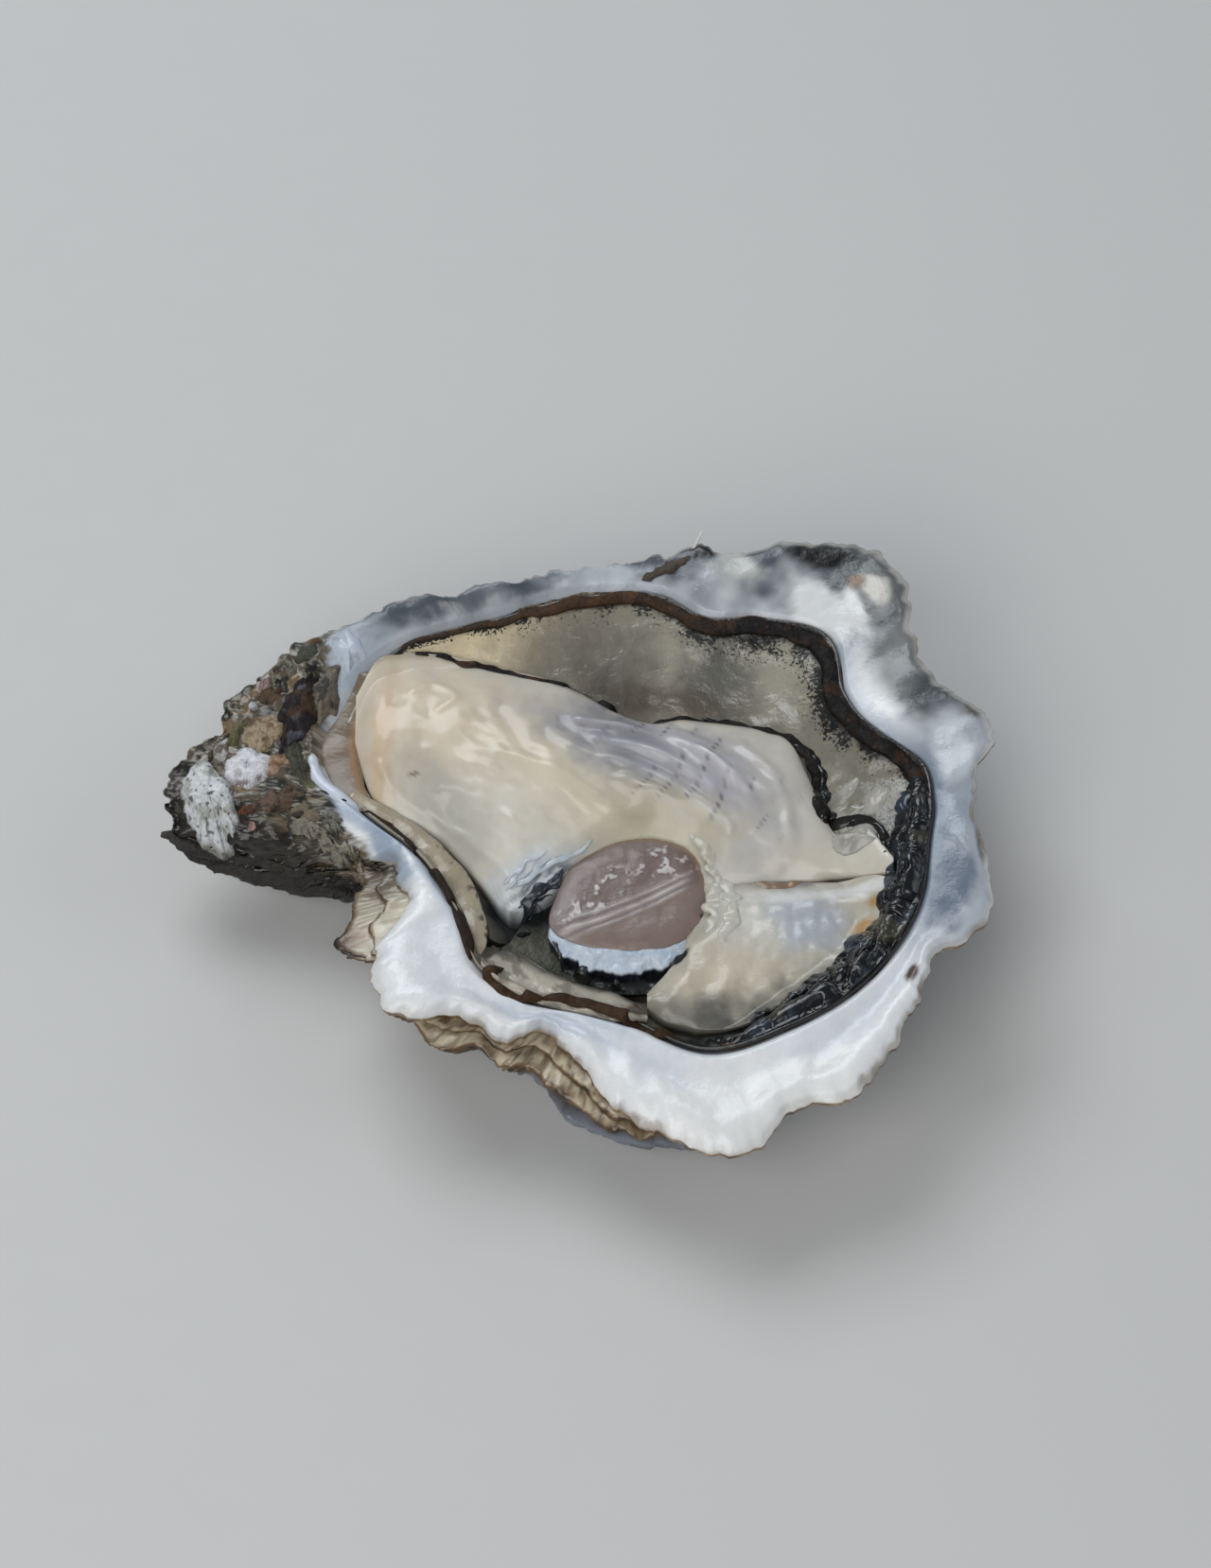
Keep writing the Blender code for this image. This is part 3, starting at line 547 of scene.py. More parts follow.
def paintShell(grid, kinds, bearings, crusted):
    white, cold, slate = hue(238, 240, 241), hue(168, 182, 198), hue(84, 92, 101)
    tan, brown, umber = hue(176, 152, 118), hue(112, 84, 52), hue(58, 44, 32)
    tones = np.empty_like(grid)
    rolled = smooth(bearings, 200, 226) * (1 - smooth(bearings, 318, 342))
    backness = (smooth(np.sin(np.radians(bearings)), 0.25, 0.75) * smooth(bearings, 20, 45)
                * (1 - smooth(bearings, 140, 160)))
    rightBand = np.maximum(smooth(bearings, 322, 342), 1 - smooth(bearings, 6, 24))
    rightness = np.maximum(smooth(bearings, 335, 352), 1 - smooth(bearings, 48, 62))
    crustFrom = around(shellPlan["crustFrom"], 1, bearings)
    for row, (kind, share) in enumerate(kinds):
        places = grid[row]
        tone = covered(places, white)
        cloud = grit(places, 7, 3, 21) * 0.5 + 0.5
        fine = grit(places, 1.6, 4, 22)
        if kind in ("bowl", "lip"):
            tone = tint(tone, cold, (cloud - 0.35) * (1 - 0.85 * rolled))
            # painted shade: blue-grey over the bowl and the inner slope where the lip turns down into it, less at the
            # back and on the rolled front
            tone = tint(tone, cold, 0.6 * (1 - smooth(share, 0.0, 0.25)) * (1 - 0.5 * backness) * (1 - 0.6 * rolled))
            # painted shade: darker blue-grey nacre along the right side
            tone = tint(tone, hue(108, 123, 141), rightBand * (0.55 + 0.35 * hump(share, 0.2, 0.34)))
            grey = backness * (0.8 + 0.45 * grit(places, 5, 3, 23))
            tone = tint(tone, slate, grey * smooth(share, -0.25, 0.3))
            smudge = backness * smooth(share + fine * 0.12, 0.45, 0.9) * smooth(cloud, 0.25, 0.7)
            tone = tint(tone, hue(66, 72, 80), smudge * 0.7)
            # greyer translucent nacre at the back right, and painted shade over the lip on the right side
            greyNacreAndShade = rightness * smooth(share, 0.2, 0.55) * (0.85 + 0.15 * grit(places, 6, 3, 24))
            east = smooth(bearings, 8, 22) * (1 - smooth(bearings, 300, 320))
            tone = tint(tone, hue(94, 99, 99), greyNacreAndShade * east)
            tone = tint(tone, hue(140, 147, 154), greyNacreAndShade * (1 - east) * 0.5)
            # painted shade: blue-grey in the hollow of the rolled lip
            tone = tint(tone, hue(168, 182, 202), rolled * 0.35 * math.exp(-((share - 0.3) / 0.16) ** 2))
            for x, y, a, b, turn, colour, strength in shellMarks:
                tone = tint(tone, hue(*colour), strength * patch(places, x, y, a, b, turn, 0.35, 0.3, 2.0))
            rim = smooth(share + fine * 0.05, 0.9, 0.99)
            tone = tint(tone, hue(206, 204, 196), rim * 0.6)
            stain = rim * smooth(lumps(places, 5, 26), -0.1, 0.5)
            tone = tint(tone, brown, stain * 0.55 * (1 - backness))
        elif kind == "edge":
            tone = tint(covered(places, tan), brown, fine * 1.2 + 0.4)
            tone = tint(tone, umber, smooth(grit(places, 2.5, 3, 20), 0.0, 0.5) * 0.6)
            tone = tint(tone, hue(150, 152, 148), backness * 0.8)
        elif kind == "leaf":
            neck = hump(bearings, 205, 12)
            tone = covered(places, hue(188, 174, 146))
            tone = tint(tone, hue(232, 226, 204), neck)
            tone = tint(tone, hue(104, 82, 54), (fine * 0.9 + 0.25) * (1 - 0.8 * neck))
            lines = np.sin(np.hypot(places[:, 0], places[:, 1]) * 6.5 + fine * 2.5)
            tone = tint(tone, umber, smooth(lines, 0.3, 1.0) * (0.6 - 0.35 * neck))
            tone = tint(tone, hue(150, 108, 84), patch(places, -35.2, -15.2, 3.2, 2.0, 20, 0.5) * 0.7)
            tone = tint(tone, hue(188, 182, 164), patch(places, -30.5, -11.5, 3.0, 3.0, 0, 0.6) * 0.3)
        elif kind == "leafEdge":
            tone = tint(covered(places, brown), umber, fine + 0.3 + share * 0.5)
        else:
            cupFront = hump(bearings, 262, 20)
            tone = covered(places, hue(112, 115, 122))
            tone = tint(tone, hue(74, 66, 66), (fine * 0.6 + 0.25) * (1 - cupFront))
            tone = tint(tone, hue(120, 127, 140), cupFront * (1 - smooth(share, 0.35, 0.75)))
            lines = np.sin(share * 90 + lumps(places, 6, 27) * 3)
            tone = tint(tone, hue(160, 150, 134), smooth(lines, 0.3, 1.0) * 0.5 * (1 - cupFront))
            tone = tint(tone, umber, smooth(grit(places, 5, 4, 28), 0.2, 0.7) * 0.7 * (1 - cupFront * 0.8))
        far = np.hypot(places[:, 0], places[:, 1])
        inCrust = np.minimum(1, crusted * 1.3) * smooth(far + fine * 0.9 - crustFrom, -0.4, 0.8)
        if kind != "lip" and kind != "bowl":
            inCrust = np.minimum(crusted, 0.95) * (1 - 0.85 * hump(bearings, 204, 8))
        rust = grit(places, 3.0, 4, 29)
        crustTone = covered(places, hue(106, 96, 80))
        crustTone = tint(crustTone, hue(152, 128, 94), smooth(rust, 0.1, 0.7) * 0.8)
        crustTone = tint(crustTone, hue(42, 42, 34), smooth(grit(places, 1.6, 4, 30), 0.05, 0.5))
        crustTone = tint(crustTone, hue(186, 182, 170), smooth(grit(places, 1.0, 3, 31), 0.4, 0.75) * 0.9) * 0.74
        tone = tint(tone, crustTone, inCrust)
        if kind in ("wall", "leaf", "leafEdge"):
            shaded = crusted * (0.9 if kind == "wall" else 0.55) * (1 - hump(bearings, 205, 9))   # painted shade in deep cracks
            tone = tint(tone, hue(26, 23, 20), shaded * smooth(fine, -1.2, 0.3))
        # painted shade: near black low down on the wall, leaves and edge under the neck
        if kind in ("wall", "leaf", "leafEdge", "edge"):
            near = 1 - smooth(bearings, 196, 203) if kind != "wall" else 1 - smooth(bearings, 207, 218)
            below = smooth(bearings, 160, 172) * near * (1 - smooth(places[:, 2] + fine * 0.5, 10.6, 13.0))
            tone = tint(tone, hue(18, 16, 14), below * 0.95)
        # painted shade: near black over the crust below the barnacles, towards the front at the hinge end
        front = 0.9 - 0.75 * (places[:, 0] + 44) - places[:, 1] + fine * 0.5
        west = smooth(bearings, 170, 176) * (1 - smooth(places[:, 0], -36, -32.5))
        tone = tint(tone, hue(24, 20, 16), smooth(front, -0.8, 1.4) * west * 0.92)
        tones[row] = tone
    return tones


# marks on the lip: plan place, half sizes, turn, colour, strength
shellMarks = (
    (22.8, 26.6, 5.4, 3.0, -28, (232, 234, 234), 0.95),
    (11.8, 32.6, 3.0, 1.9, -10, (196, 198, 194), 0.9),
    (-6.0, 32.6, 7.5, 1.3, 2, (206, 214, 222), 0.7),
    (21.2, 34.2, 4.2, 1.7, -14, (8, 9, 9), 1.0),
    (8.3, 35.2, 2.0, 1.6, 0, (14, 14, 14), 0.95),
    (28.5, 28.9, 1.7, 2.4, 30, (214, 210, 200), 0.8),
    (26.4, 30.2, 0.9, 1.0, 0, (120, 84, 44), 0.9),
    (28.2, 25.6, 0.6, 3.6, 24, (70, 74, 76), 0.8),
    (35.6, 14.4, 4.6, 2.8, 40, (62, 69, 74), 0.8),
    (39.8, 12.0, 1.2, 1.6, -30, (60, 58, 50), 0.8),
    (35.4, 19.0, 3.0, 2.6, 10, (92, 98, 101), 0.6),
    (-28.5, 29.2, 4.4, 2.2, 32, (84, 92, 100), 0.7),
    (36.6, 6.6, 2.6, 5.0, 8, (206, 213, 219), 0.7),
    (37.6, -2.4, 2.2, 3.6, -6, (150, 163, 178), 0.6),
    (35.6, -13.0, 2.4, 5.0, -20, (98, 112, 130), 0.8),
    (39.6, -6.4, 0.5, 3.0, 4, (70, 68, 60), 0.7),
    (30.8, -23.3, 0.8, 1.3, -20, (66, 40, 20), 0.95),
    (32.4, -25.2, 0.9, 1.1, -20, (84, 74, 60), 0.8),
    (-23.5, -22.5, 7.0, 5.0, -30, (232, 234, 236), 0.85),
    (12.0, -38.0, 12.0, 5.5, 8, (236, 237, 236), 0.9),
    (-9.0, -27.5, 7.0, 1.6, -14, (188, 200, 216), 0.5),
    (-30.0, -4.6, 1.6, 6.6, 24, (138, 156, 178), 0.75),
    (-34.6, 0.6, 1.2, 4.0, 50, (150, 166, 186), 0.6),
    (-35.4, 22.5, 5.0, 3.4, 40, (164, 173, 182), 0.8),
    (-21.0, 31.0, 12.0, 2.6, 14, (72, 80, 88), 0.7),
)


def makeShell():
    plan = shellPlan
    steps = np.arange(plan["columns"]) * 360 / plan["columns"]
    crowd = plan["hingeCrowding"] * np.degrees(np.sin(np.radians(steps - plan["hingeBearing"])))
    bearings = np.mod(steps - crowd, 360)
    grid, kinds, crusted = shellRows(bearings)
    tones = paintShell(grid, kinds, bearings, crusted)
    relief = np.zeros(grid.shape[:2])
    far = np.hypot(grid[..., 0], grid[..., 1])
    crustFrom = around(plan["crustFrom"], 1, bearings)
    for row, (kind, share) in enumerate(kinds):
        places = grid[row]
        rough = crusted * (smooth(far[row], crustFrom - 0.5, crustFrom + 2) if kind in ("bowl", "lip") else 1.0)
        relief[row] = grit(places, 3.2, 5, 33) * 0.75 * rough + lumps(places, 0.9, 34) * 0.25 * rough
        if kind == "lip":
            wave = grit(places, 9, 3, 35) * 0.35 * math.sin(math.pi * share)
            relief[row] += wave + lumps(places, 2.2, 36) * 0.07
        if kind in ("leaf", "leafEdge"):
            relief[row] += grit(places, 1.8, 3, 37) * 0.12
        if kind == "wall" and share < 0.94:
            relief[row] += grit(places, 4.0, 4, 38) * 0.3
        if kind == "wall":
            relief[row] *= smooth(places[:, 2], 0.0, 3.5)
    return makePiece("shellNacre", grid, tones, nacre, ("shell",), relief)


shell = makeShell()
print("shell made")


# heights shared by the flesh

def bearingOf(x, y):
    return np.mod(np.degrees(np.arctan2(y, x)), 360)


def bowlHigh(x, y):
    bearings = bearingOf(x, y)
    share = np.hypot(x, y) / around(shellPlan["crest"], 1, bearings)
    high = around(shellPlan["crest"], 2, bearings)
    return shellPlan["floorTop"] + (high - shellPlan["floorTop"]) * np.minimum(share, 1.0) ** shellPlan["bowlPower"]


liningPlan = dict(
    columns=420, rings=84, floor=9.6,
    # the lining's edge: bearing, how far inside the crest it stays, how late it turns up
    edge=(
        (0, 0.2, 1.2), (12, 0.2, 1.6), (25, 0.4, 1.9), (42, 0.6, 1.3), (60, 0.7, 1.3), (78, 0.8, 1.1),
        (95, 1.0, 0.9), (110, 1.0, 0.95), (122, 1.0, 1.2), (132, 1.0, 1.45), (144, 1.2, 1.8), (156, 2.6, 2.3),
        (170, 2.4, 3.0), (182, 1.2, 3.4), (195, 1.0, 4.0), (222, 1.0, 9.0), (250, 2.0, 7.0), (275, 1.6, 6.0),
        (300, 1.0, 3.0), (330, 0.6, 2.2), (345, 0.3, 1.6)),
)


def liningHigh(x, y):
    bearings = bearingOf(x, y)
    edge = around(shellPlan["crest"], 1, bearings) - around(liningPlan["edge"], 1, bearings)
    turn = np.radians(bearings)
    edgeHigh = bowlHigh(edge * np.cos(turn), edge * np.sin(turn)) + 0.9
    share = np.minimum(np.hypot(x, y) / edge, 1.0)
    power = around(liningPlan["edge"], 2, bearings)
    return liningPlan["floor"] + (edgeHigh + 0.3 - liningPlan["floor"]) * share ** power


# dark fringe along the lining's edge: bearing, width, how black it is, how rusty
fringePlan = (
    (-100, 0.6, 0.2, 0.6), (-88, 1.0, 0.5, 0.4), (-75, 1.9, 0.7, 0.1), (-62, 3.2, 0.95, 0.05), (-48, 4.2, 1.0, 0.0),
    (-34, 4.4, 1.0, 0.0), (-20, 4.2, 1.0, 0.0), (-6, 3.8, 1.0, 0.15), (6, 3.3, 1.0, 0.35), (20, 3.2, 1.0, 0.4),
    (32, 3.2, 1.0, 0.4), (42, 3.4, 1.0, 0.35), (52, 3.2, 1.0, 0.35), (64, 3.0, 1.0, 0.35), (76, 2.6, 0.9, 0.5),
    (88, 2.3, 0.8, 0.7), (100, 2.3, 0.75, 0.8), (112, 1.9, 0.8, 0.6), (124, 1.3, 0.85, 0.4), (136, 0.9, 0.85, 0.3),
    (146, 0.5, 0.8, 0.3), (156, 0.3, 0.2, 0.5), (190, 0.3, 0.0, 0.5), (220, 0.3, 0.0, 0.3), (250, 0.3, 0.1, 0.5))


def signed(bearings):
    # bearings from -110 to 250, so that the fringe's table runs on through 0
    return np.where(bearings > 250, bearings - 360, bearings)


# marks on the lining, some of them painted shade: plan place, half sizes, turn, softness, colour, strength
liningMarksAndShade = (
    (17, 20, 9, 5, -35, 0.6, (176, 171, 154), 0.85),
    (3, 22.5, 9, 4.5, -6, 0.7, (176, 171, 154), 0.55),
    # painted shade in the dip on the back right of the lobe
    (9.5, 20, 3.6, 4, -20, 0.8, (92, 93, 88), 0.75),
    (-22, 24.6, 9.5, 4.6, 16, 0.7, (212, 196, 162), 0.95),
    (-7.5, 22.4, 6.5, 4.6, -6, 0.8, (112, 107, 94), 0.8),
    # painted shadow beside the inner fringe
    (-2.5, 19.4, 4.5, 2.6, -10, 0.8, (92, 87, 78), 0.7),
    (24, 8, 5.5, 9, 8, 0.7, (152, 147, 130), 0.85),
    (-32.5, 12, 5, 9, 0, 0.6, (186, 178, 160), 0.9),
    (-33.6, 9, 1.2, 9, -4, 0.6, (196, 170, 140), 0.6),
    # painted shadow along the inner fringe
    (1, 17.5, 11, 1.6, -4, 0.7, (96, 88, 74), 0.8),
    (9, -30.4, 13, 4.6, 8, 0.6, (38, 44, 48), 0.95),
    (27, -19, 5, 10, -34, 0.6, (44, 48, 50), 0.85),
    (28.0, -1.5, 3.0, 5.5, 10, 0.7, (112, 110, 98), 0.75, 0.4),
    (-6, -14, 13, 8, -10, 0.5, (52, 54, 46), 0.9),
    (-11, -8, 9, 6, 30, 0.5, (40, 46, 54), 0.9),
)


def makeLining():
    plan = liningPlan
    bearings = np.arange(plan["columns"]) * 360 / plan["columns"]
    turn = np.radians(bearings)
    edge = around(shellPlan["crest"], 1, bearings) - around(plan["edge"], 1, bearings)
    rings = []
    shares = np.concatenate((np.linspace(0.02, 0.5, 14), np.linspace(0.51, 1.0, plan["rings"] - 14)))
    for share in shares:
        x, y = np.cos(turn) * edge * share, np.sin(turn) * edge * share
        rings.append(np.stack((x, y, liningHigh(x, y) - 0.25 * (share > 0.995)), axis=1))
    top = len(rings)
    for share in (1.0, 0.97, 0.9, 0.75, 0.5, 0.25, 0.05):
        x, y = np.cos(turn) * edge * share, np.sin(turn) * edge * share
        rings.append(np.stack((x, y, bowlHigh(x, y) + 0.35), axis=1))
    grid = np.array(rings)
    lobe = grid * (1, 1, 0)
    tones = covered(grid, hue(150, 143, 126))
    cloud = grit(lobe, 6, 3, 71)
    tones = marked(tones, lobe, liningMarksAndShade)
    tones = tint(tones, hue(92, 93, 88), smooth(cloud, 0.2, 0.9) * 0.25)
    # painted shade: the lining 16 percent darker towards the right
    tones = tones * (1 - 0.16 * smooth(grid[..., 0], -16, -5))[..., None]
    bent = signed(np.broadcast_to(bearings, grid.shape[:2]))
    inside = edge[None, :] - np.hypot(grid[..., 0], grid[..., 1])
    table = np.array(fringePlan)
    wide = smoothCurve(table[:, 0], table[:, 1], bent)
    dark = smoothCurve(table[:, 0], table[:, 2], bent)
    fine = grit(grid * (1, 1, 0.3), 1.1, 4, 72)
    tones = tint(tones, hue(20, 15, 10), smooth(wide * 0.85 - inside + fine * 0.45 * dark, -0.2, 0.4) * dark)
    beyond = np.maximum(inside - wide * 0.75, 0)
    uneven = np.clip(0.95 + 0.5 * grit(grid, 2.2, 3, 74), 0, 1.1)
    dust = 1.1 * dark * np.exp(-beyond / (0.6 + 0.9 * wide)) * uneven
    relief = grit(grid, 4, 3, 76) * 0.18
    relief[top:] = 0
    relief = relief * smooth(inside, 0.0, 2.0)
    return makePiece("mantleLining", grid, tones, mantleWet, ("mantle",), relief, dust)


lining = makeLining()
print("mantle lining made")


# body, fold and flap: slices across, soft on top

bodyPlan = dict(
    stations=230, columns=190,
    # X, front edge Y, back edge Y, front height, back height, crown above them
    slices=(
        (-34.4, 10.5, 17.0, 16.8, 17.2, 0.6), (-32.5, 4.2, 20.6, 16.4, 17.6, 2.4),
        (-29.0, 0.8, 22.2, 15.8, 17.8, 3.4), (-24.0, -2.2, 22.5, 15.0, 17.8, 4.0),
        (-19.0, -7.5, 21.8, 13.9, 17.6, 4.6), (-15.6, -11.2, 21.0, 13.4, 17.5, 4.8),
        (-12.0, -10.0, 20.2, 14.0, 17.5, 4.5), (-7.5, -6.4, 18.2, 15.0, 17.5, 3.9),
        (-3.0, -3.9, 15.2, 15.6, 17.5, 3.3), (1.5, -4.0, 13.5, 15.8, 17.5, 3.0),
        (5.0, -6.2, 14.1, 15.8, 17.5, 2.9), (7.6, -8.3, 13.8, 15.8, 17.5, 3.0), (10.5, -8.7, 13.4, 15.8, 17.5, 3.0),
        (15.0, -8.4, 12.2, 16.0, 17.6, 2.8), (18.5, -8.4, 9.6, 16.2, 17.8, 2.4),
        (20.3, -8.4, 4.5, 16.4, 17.8, 1.9), (22.5, -8.1, -2.2, 16.6, 17.8, 1.0),
        (26.5, -8.9, -2.8, 17.0, 17.8, 0.9), (29.4, -9.5, -7.6, 17.2, 17.4, 0.3)),
)
foldPlan = dict(
    stations=150, columns=120,
    slices=(
        (0.6, -24.8, -22.8, 14.4, 14.4, 0.4), (3.0, -26.8, -19.8, 14.4, 14.4, 1.4),
        (5.0, -27.4, -16.4, 14.5, 14.7, 1.8), (6.0, -27.8, -12.0, 14.6, 15.0, 1.8),
        (7.2, -28.0, -8.6, 14.7, 15.4, 1.7), (9.6, -28.0, -8.2, 14.8, 15.7, 1.7),
        (12.0, -27.7, -8.2, 14.8, 15.8, 1.7), (17.5, -25.2, -8.4, 15.2, 16.0, 1.6),
        (23.8, -21.2, -8.8, 15.8, 16.5, 1.4), (27.8, -16.9, -9.4, 16.2, 16.9, 1.2),
        (30.3, -13.9, -11.4, 16.6, 16.6, 0.3)),
)
flapPlan = dict(
    stations=150, columns=90,
    slices=(
        (-18.6, -20.8, -18.4, 15.0, 14.4, 0.3), (-17.0, -22.4, -16.9, 15.0, 14.0, 0.7),
        (-14.8, -24.0, -16.7, 14.9, 13.6, 1.0), (-10.8, -25.5, -19.2, 14.7, 13.4, 1.1),
        (-6.5, -26.6, -21.1, 14.5, 13.4, 1.1), (-2.6, -27.6, -22.6, 14.5, 13.6, 1.0),
        (-0.6, -27.4, -24.0, 14.5, 14.0, 0.6), (0.6, -26.8, -25.4, 14.4, 14.2, 0.2)),
)
musclePlan = dict(
    columns=240, rings=80, middle=(-1.4, -9.6), top=15.2, slant=0.07, slantFrom=-9.2,
    # the cut face's outline about its middle: bearing, reach
    outline=((8, 9.0), (38, 9.5), (63, 8.5), (95, 7.5), (129, 7.3), (155, 8.0), (179, 8.5), (206, 10.2), (226, 8.9),
             (257, 7.5), (291, 7.7), (319, 8.7), (343, 9.2)))


def muscleFar(x, y):
    # 1 on the muscle's outline, less inside it
    dx, dy = x - musclePlan["middle"][0], y - musclePlan["middle"][1]
    return np.hypot(dx, dy) / around(musclePlan["outline"], 1, bearingOf(dx, dy))


def pillow(plan, bed, soften=0.0):
    # slices from one end to the other: across each one the top, then back along the underside
    rows = plan["slices"]
    first, last = rows[0][0], rows[-1][0]
    xs = first + (last - first) * (1 - np.cos(np.linspace(0.02, math.pi - 0.02, plan["stations"]))) / 2
    angles = np.arange(plan["columns"]) / plan["columns"] * math.tau
    front, back, low, high, crown = [along(rows, column, xs)[:, None] for column in range(1, 6)]
    middle = (front + back) / 2
    across = np.cos(angles)[None, :]
    up = np.sin(angles)[None, :]
    y = middle + across * np.where(across > 0, back - middle, middle - front)
    x = np.broadcast_to(xs[:, None], y.shape)
    under = bed(x, y) + 0.15
    top = low + (high - low) * (across + 1) / 2 + crown * np.maximum(up, 0) ** 1.5
    top = np.maximum(top, under + 0.7 + 0.5 * np.maximum(up, 0))
    z = np.where(up >= 0, top, np.minimum(under, top - 0.4))
    edge = np.abs(up) < 0.12
    z = np.where(edge & (up >= 0), z - 0.3 * (1 - up / 0.12), z)
    return np.stack((x, y, z), axis=-1), up + 0 * y, across + 0 * y


def sinkByMuscle(grid):
    # the flesh gives way where the muscle stands
    inside = 1 - smooth(muscleFar(grid[..., 0], grid[..., 1]), 0.94, 0.985)
    sunk = np.minimum(grid[..., 2], 11.5)
    grid[..., 2] = grid[..., 2] * (1 - inside) + sunk * inside
    return grid


def dish(grid, up):
    # near the muscle the flesh comes down to the muscle's own rim
    away = np.maximum(muscleFar(grid[..., 0], grid[..., 1]) - 1, 0) * 8.5
    limit = musclePlan["top"] + 0.1 + musclePlan["slant"] * (grid[..., 1] - musclePlan["slantFrom"]) + 0.9 * away
    gap = np.clip(0.5 + 0.5 * (limit - grid[..., 2]) / 1.2, 0, 1)
    lowered = limit * (1 - gap) + grid[..., 2] * gap - 1.2 * gap * (1 - gap) * 0.5
    grid[..., 2] = np.where(up > 0, np.minimum(grid[..., 2], lowered), grid[..., 2])
    return grid


# long wet folds over the gills and the belly: line, width, rise
bodyFolds = (
    (((-7.5, 12.2), (-3.0, 11.8), (2.5, 10.4), (8.0, 6.8), (12.6, 1.7)), 0.6, 0.6),
    (((-5.6, 9.6), (-1.0, 8.6), (4.0, 6.2), (8.4, 2.6)), 0.7, 0.45),
    (((-4.2, 6.9), (0.6, 5.2), (4.7, 2.8), (8.2, -0.2), (10.2, -2.3)), 0.6, 0.5),
    (((-2.0, 4.0), (2.6, 1.6), (6.0, -1.2)), 0.6, 0.3),
    (((12.4, 8.6), (15.4, 5.0), (17.0, 0.6), (17.6, -3.6)), 0.8, 0.4),
    (((-23.7, 3.1), (-17.9, 1.0), (-13.4, -3.2)), 0.5, 0.3),
    (((-25.4, 1.0), (-20.2, -3.2), (-15.1, -8.0)), 0.5, 0.3),
    (((-20.2, 5.9), (-13.4, 3.1), (-7.6, -1.1)), 0.55, 0.32),
    (((-17.0, 7.6), (-11.0, 5.4), (-5.4, 2.2)), 0.6, 0.28),
    (((-22.4, 0.6), (-17.0, -3.0), (-12.6, -6.6)), 0.45, 0.24),
    (((-27.6, 16.4), (-25.0, 17.6), (-22.4, 15.4), (-24.4, 13.4)), 0.5, 0.3),
    (((-31.4, 6.6), (-29.0, 3.2), (-25.6, 0.4)), 0.5, 0.25),
)


# marks on the body, as on the lining
bodyMarks = (
    (-26, 12, 9, 9, 10, 0.7, (218, 203, 180), 0.85),
    (-16, 12, 10, 5, -10, 0.8, (218, 203, 180), 0.6),
    (-31.0, 9, 1.3, 10, -6, 0.7, (206, 176, 138), 0.6),
    (-8, 2, 13, 5, -28, 0.7, (216, 207, 182), 0.8),
    (-14, -3, 8, 6, -30, 0.7, (222, 217, 204), 0.6),
    (-24, 2, 7, 3, -50, 0.8, (168, 168, 160), 0.6),
    (-13, -9, 7, 3.4, 30, 0.7, (198, 208, 216), 0.75),
    (-8, 12.5, 9, 3.0, -12, 0.8, (170, 166, 156), 0.7),
    (4, 6.0, 15, 6.2, -30, 0.5, (160, 158, 164), 0.95),
    (-2, 9.6, 6, 2.6, -30, 0.7, (128, 128, 132), 0.75),
    (0.5, 3.6, 8, 1.6, -30, 0.8, (128, 128, 132), 0.6),
    (9, 6.5, 7, 2.2, -36, 0.7, (186, 184, 186), 0.8),
    (17, 3, 3.2, 8, 12, 0.7, (196, 192, 184), 0.7),
    (13, -4.5, 7, 4, -10, 0.8, (188, 186, 184), 0.85),
    (21, -6.5, 6, 2.4, -8, 0.8, (204, 198, 182), 0.8),
    (4, -0.6, 8, 3.2, -24, 0.7, (200, 190, 162), 0.75),
)


# long soft welts over the gills: plan place, half sizes, turn, rise
bodyWelts = (
    (2.5, 8.2, 11, 1.5, -28, 0.55), (8.0, 8.0, 9, 1.2, -38, 0.5), (-1.0, 4.0, 9, 1.6, -30, 0.35),
    (11.5, 2.0, 6, 1.4, -58, 0.35), (14.8, -2.0, 5, 2.0, -60, 0.3))


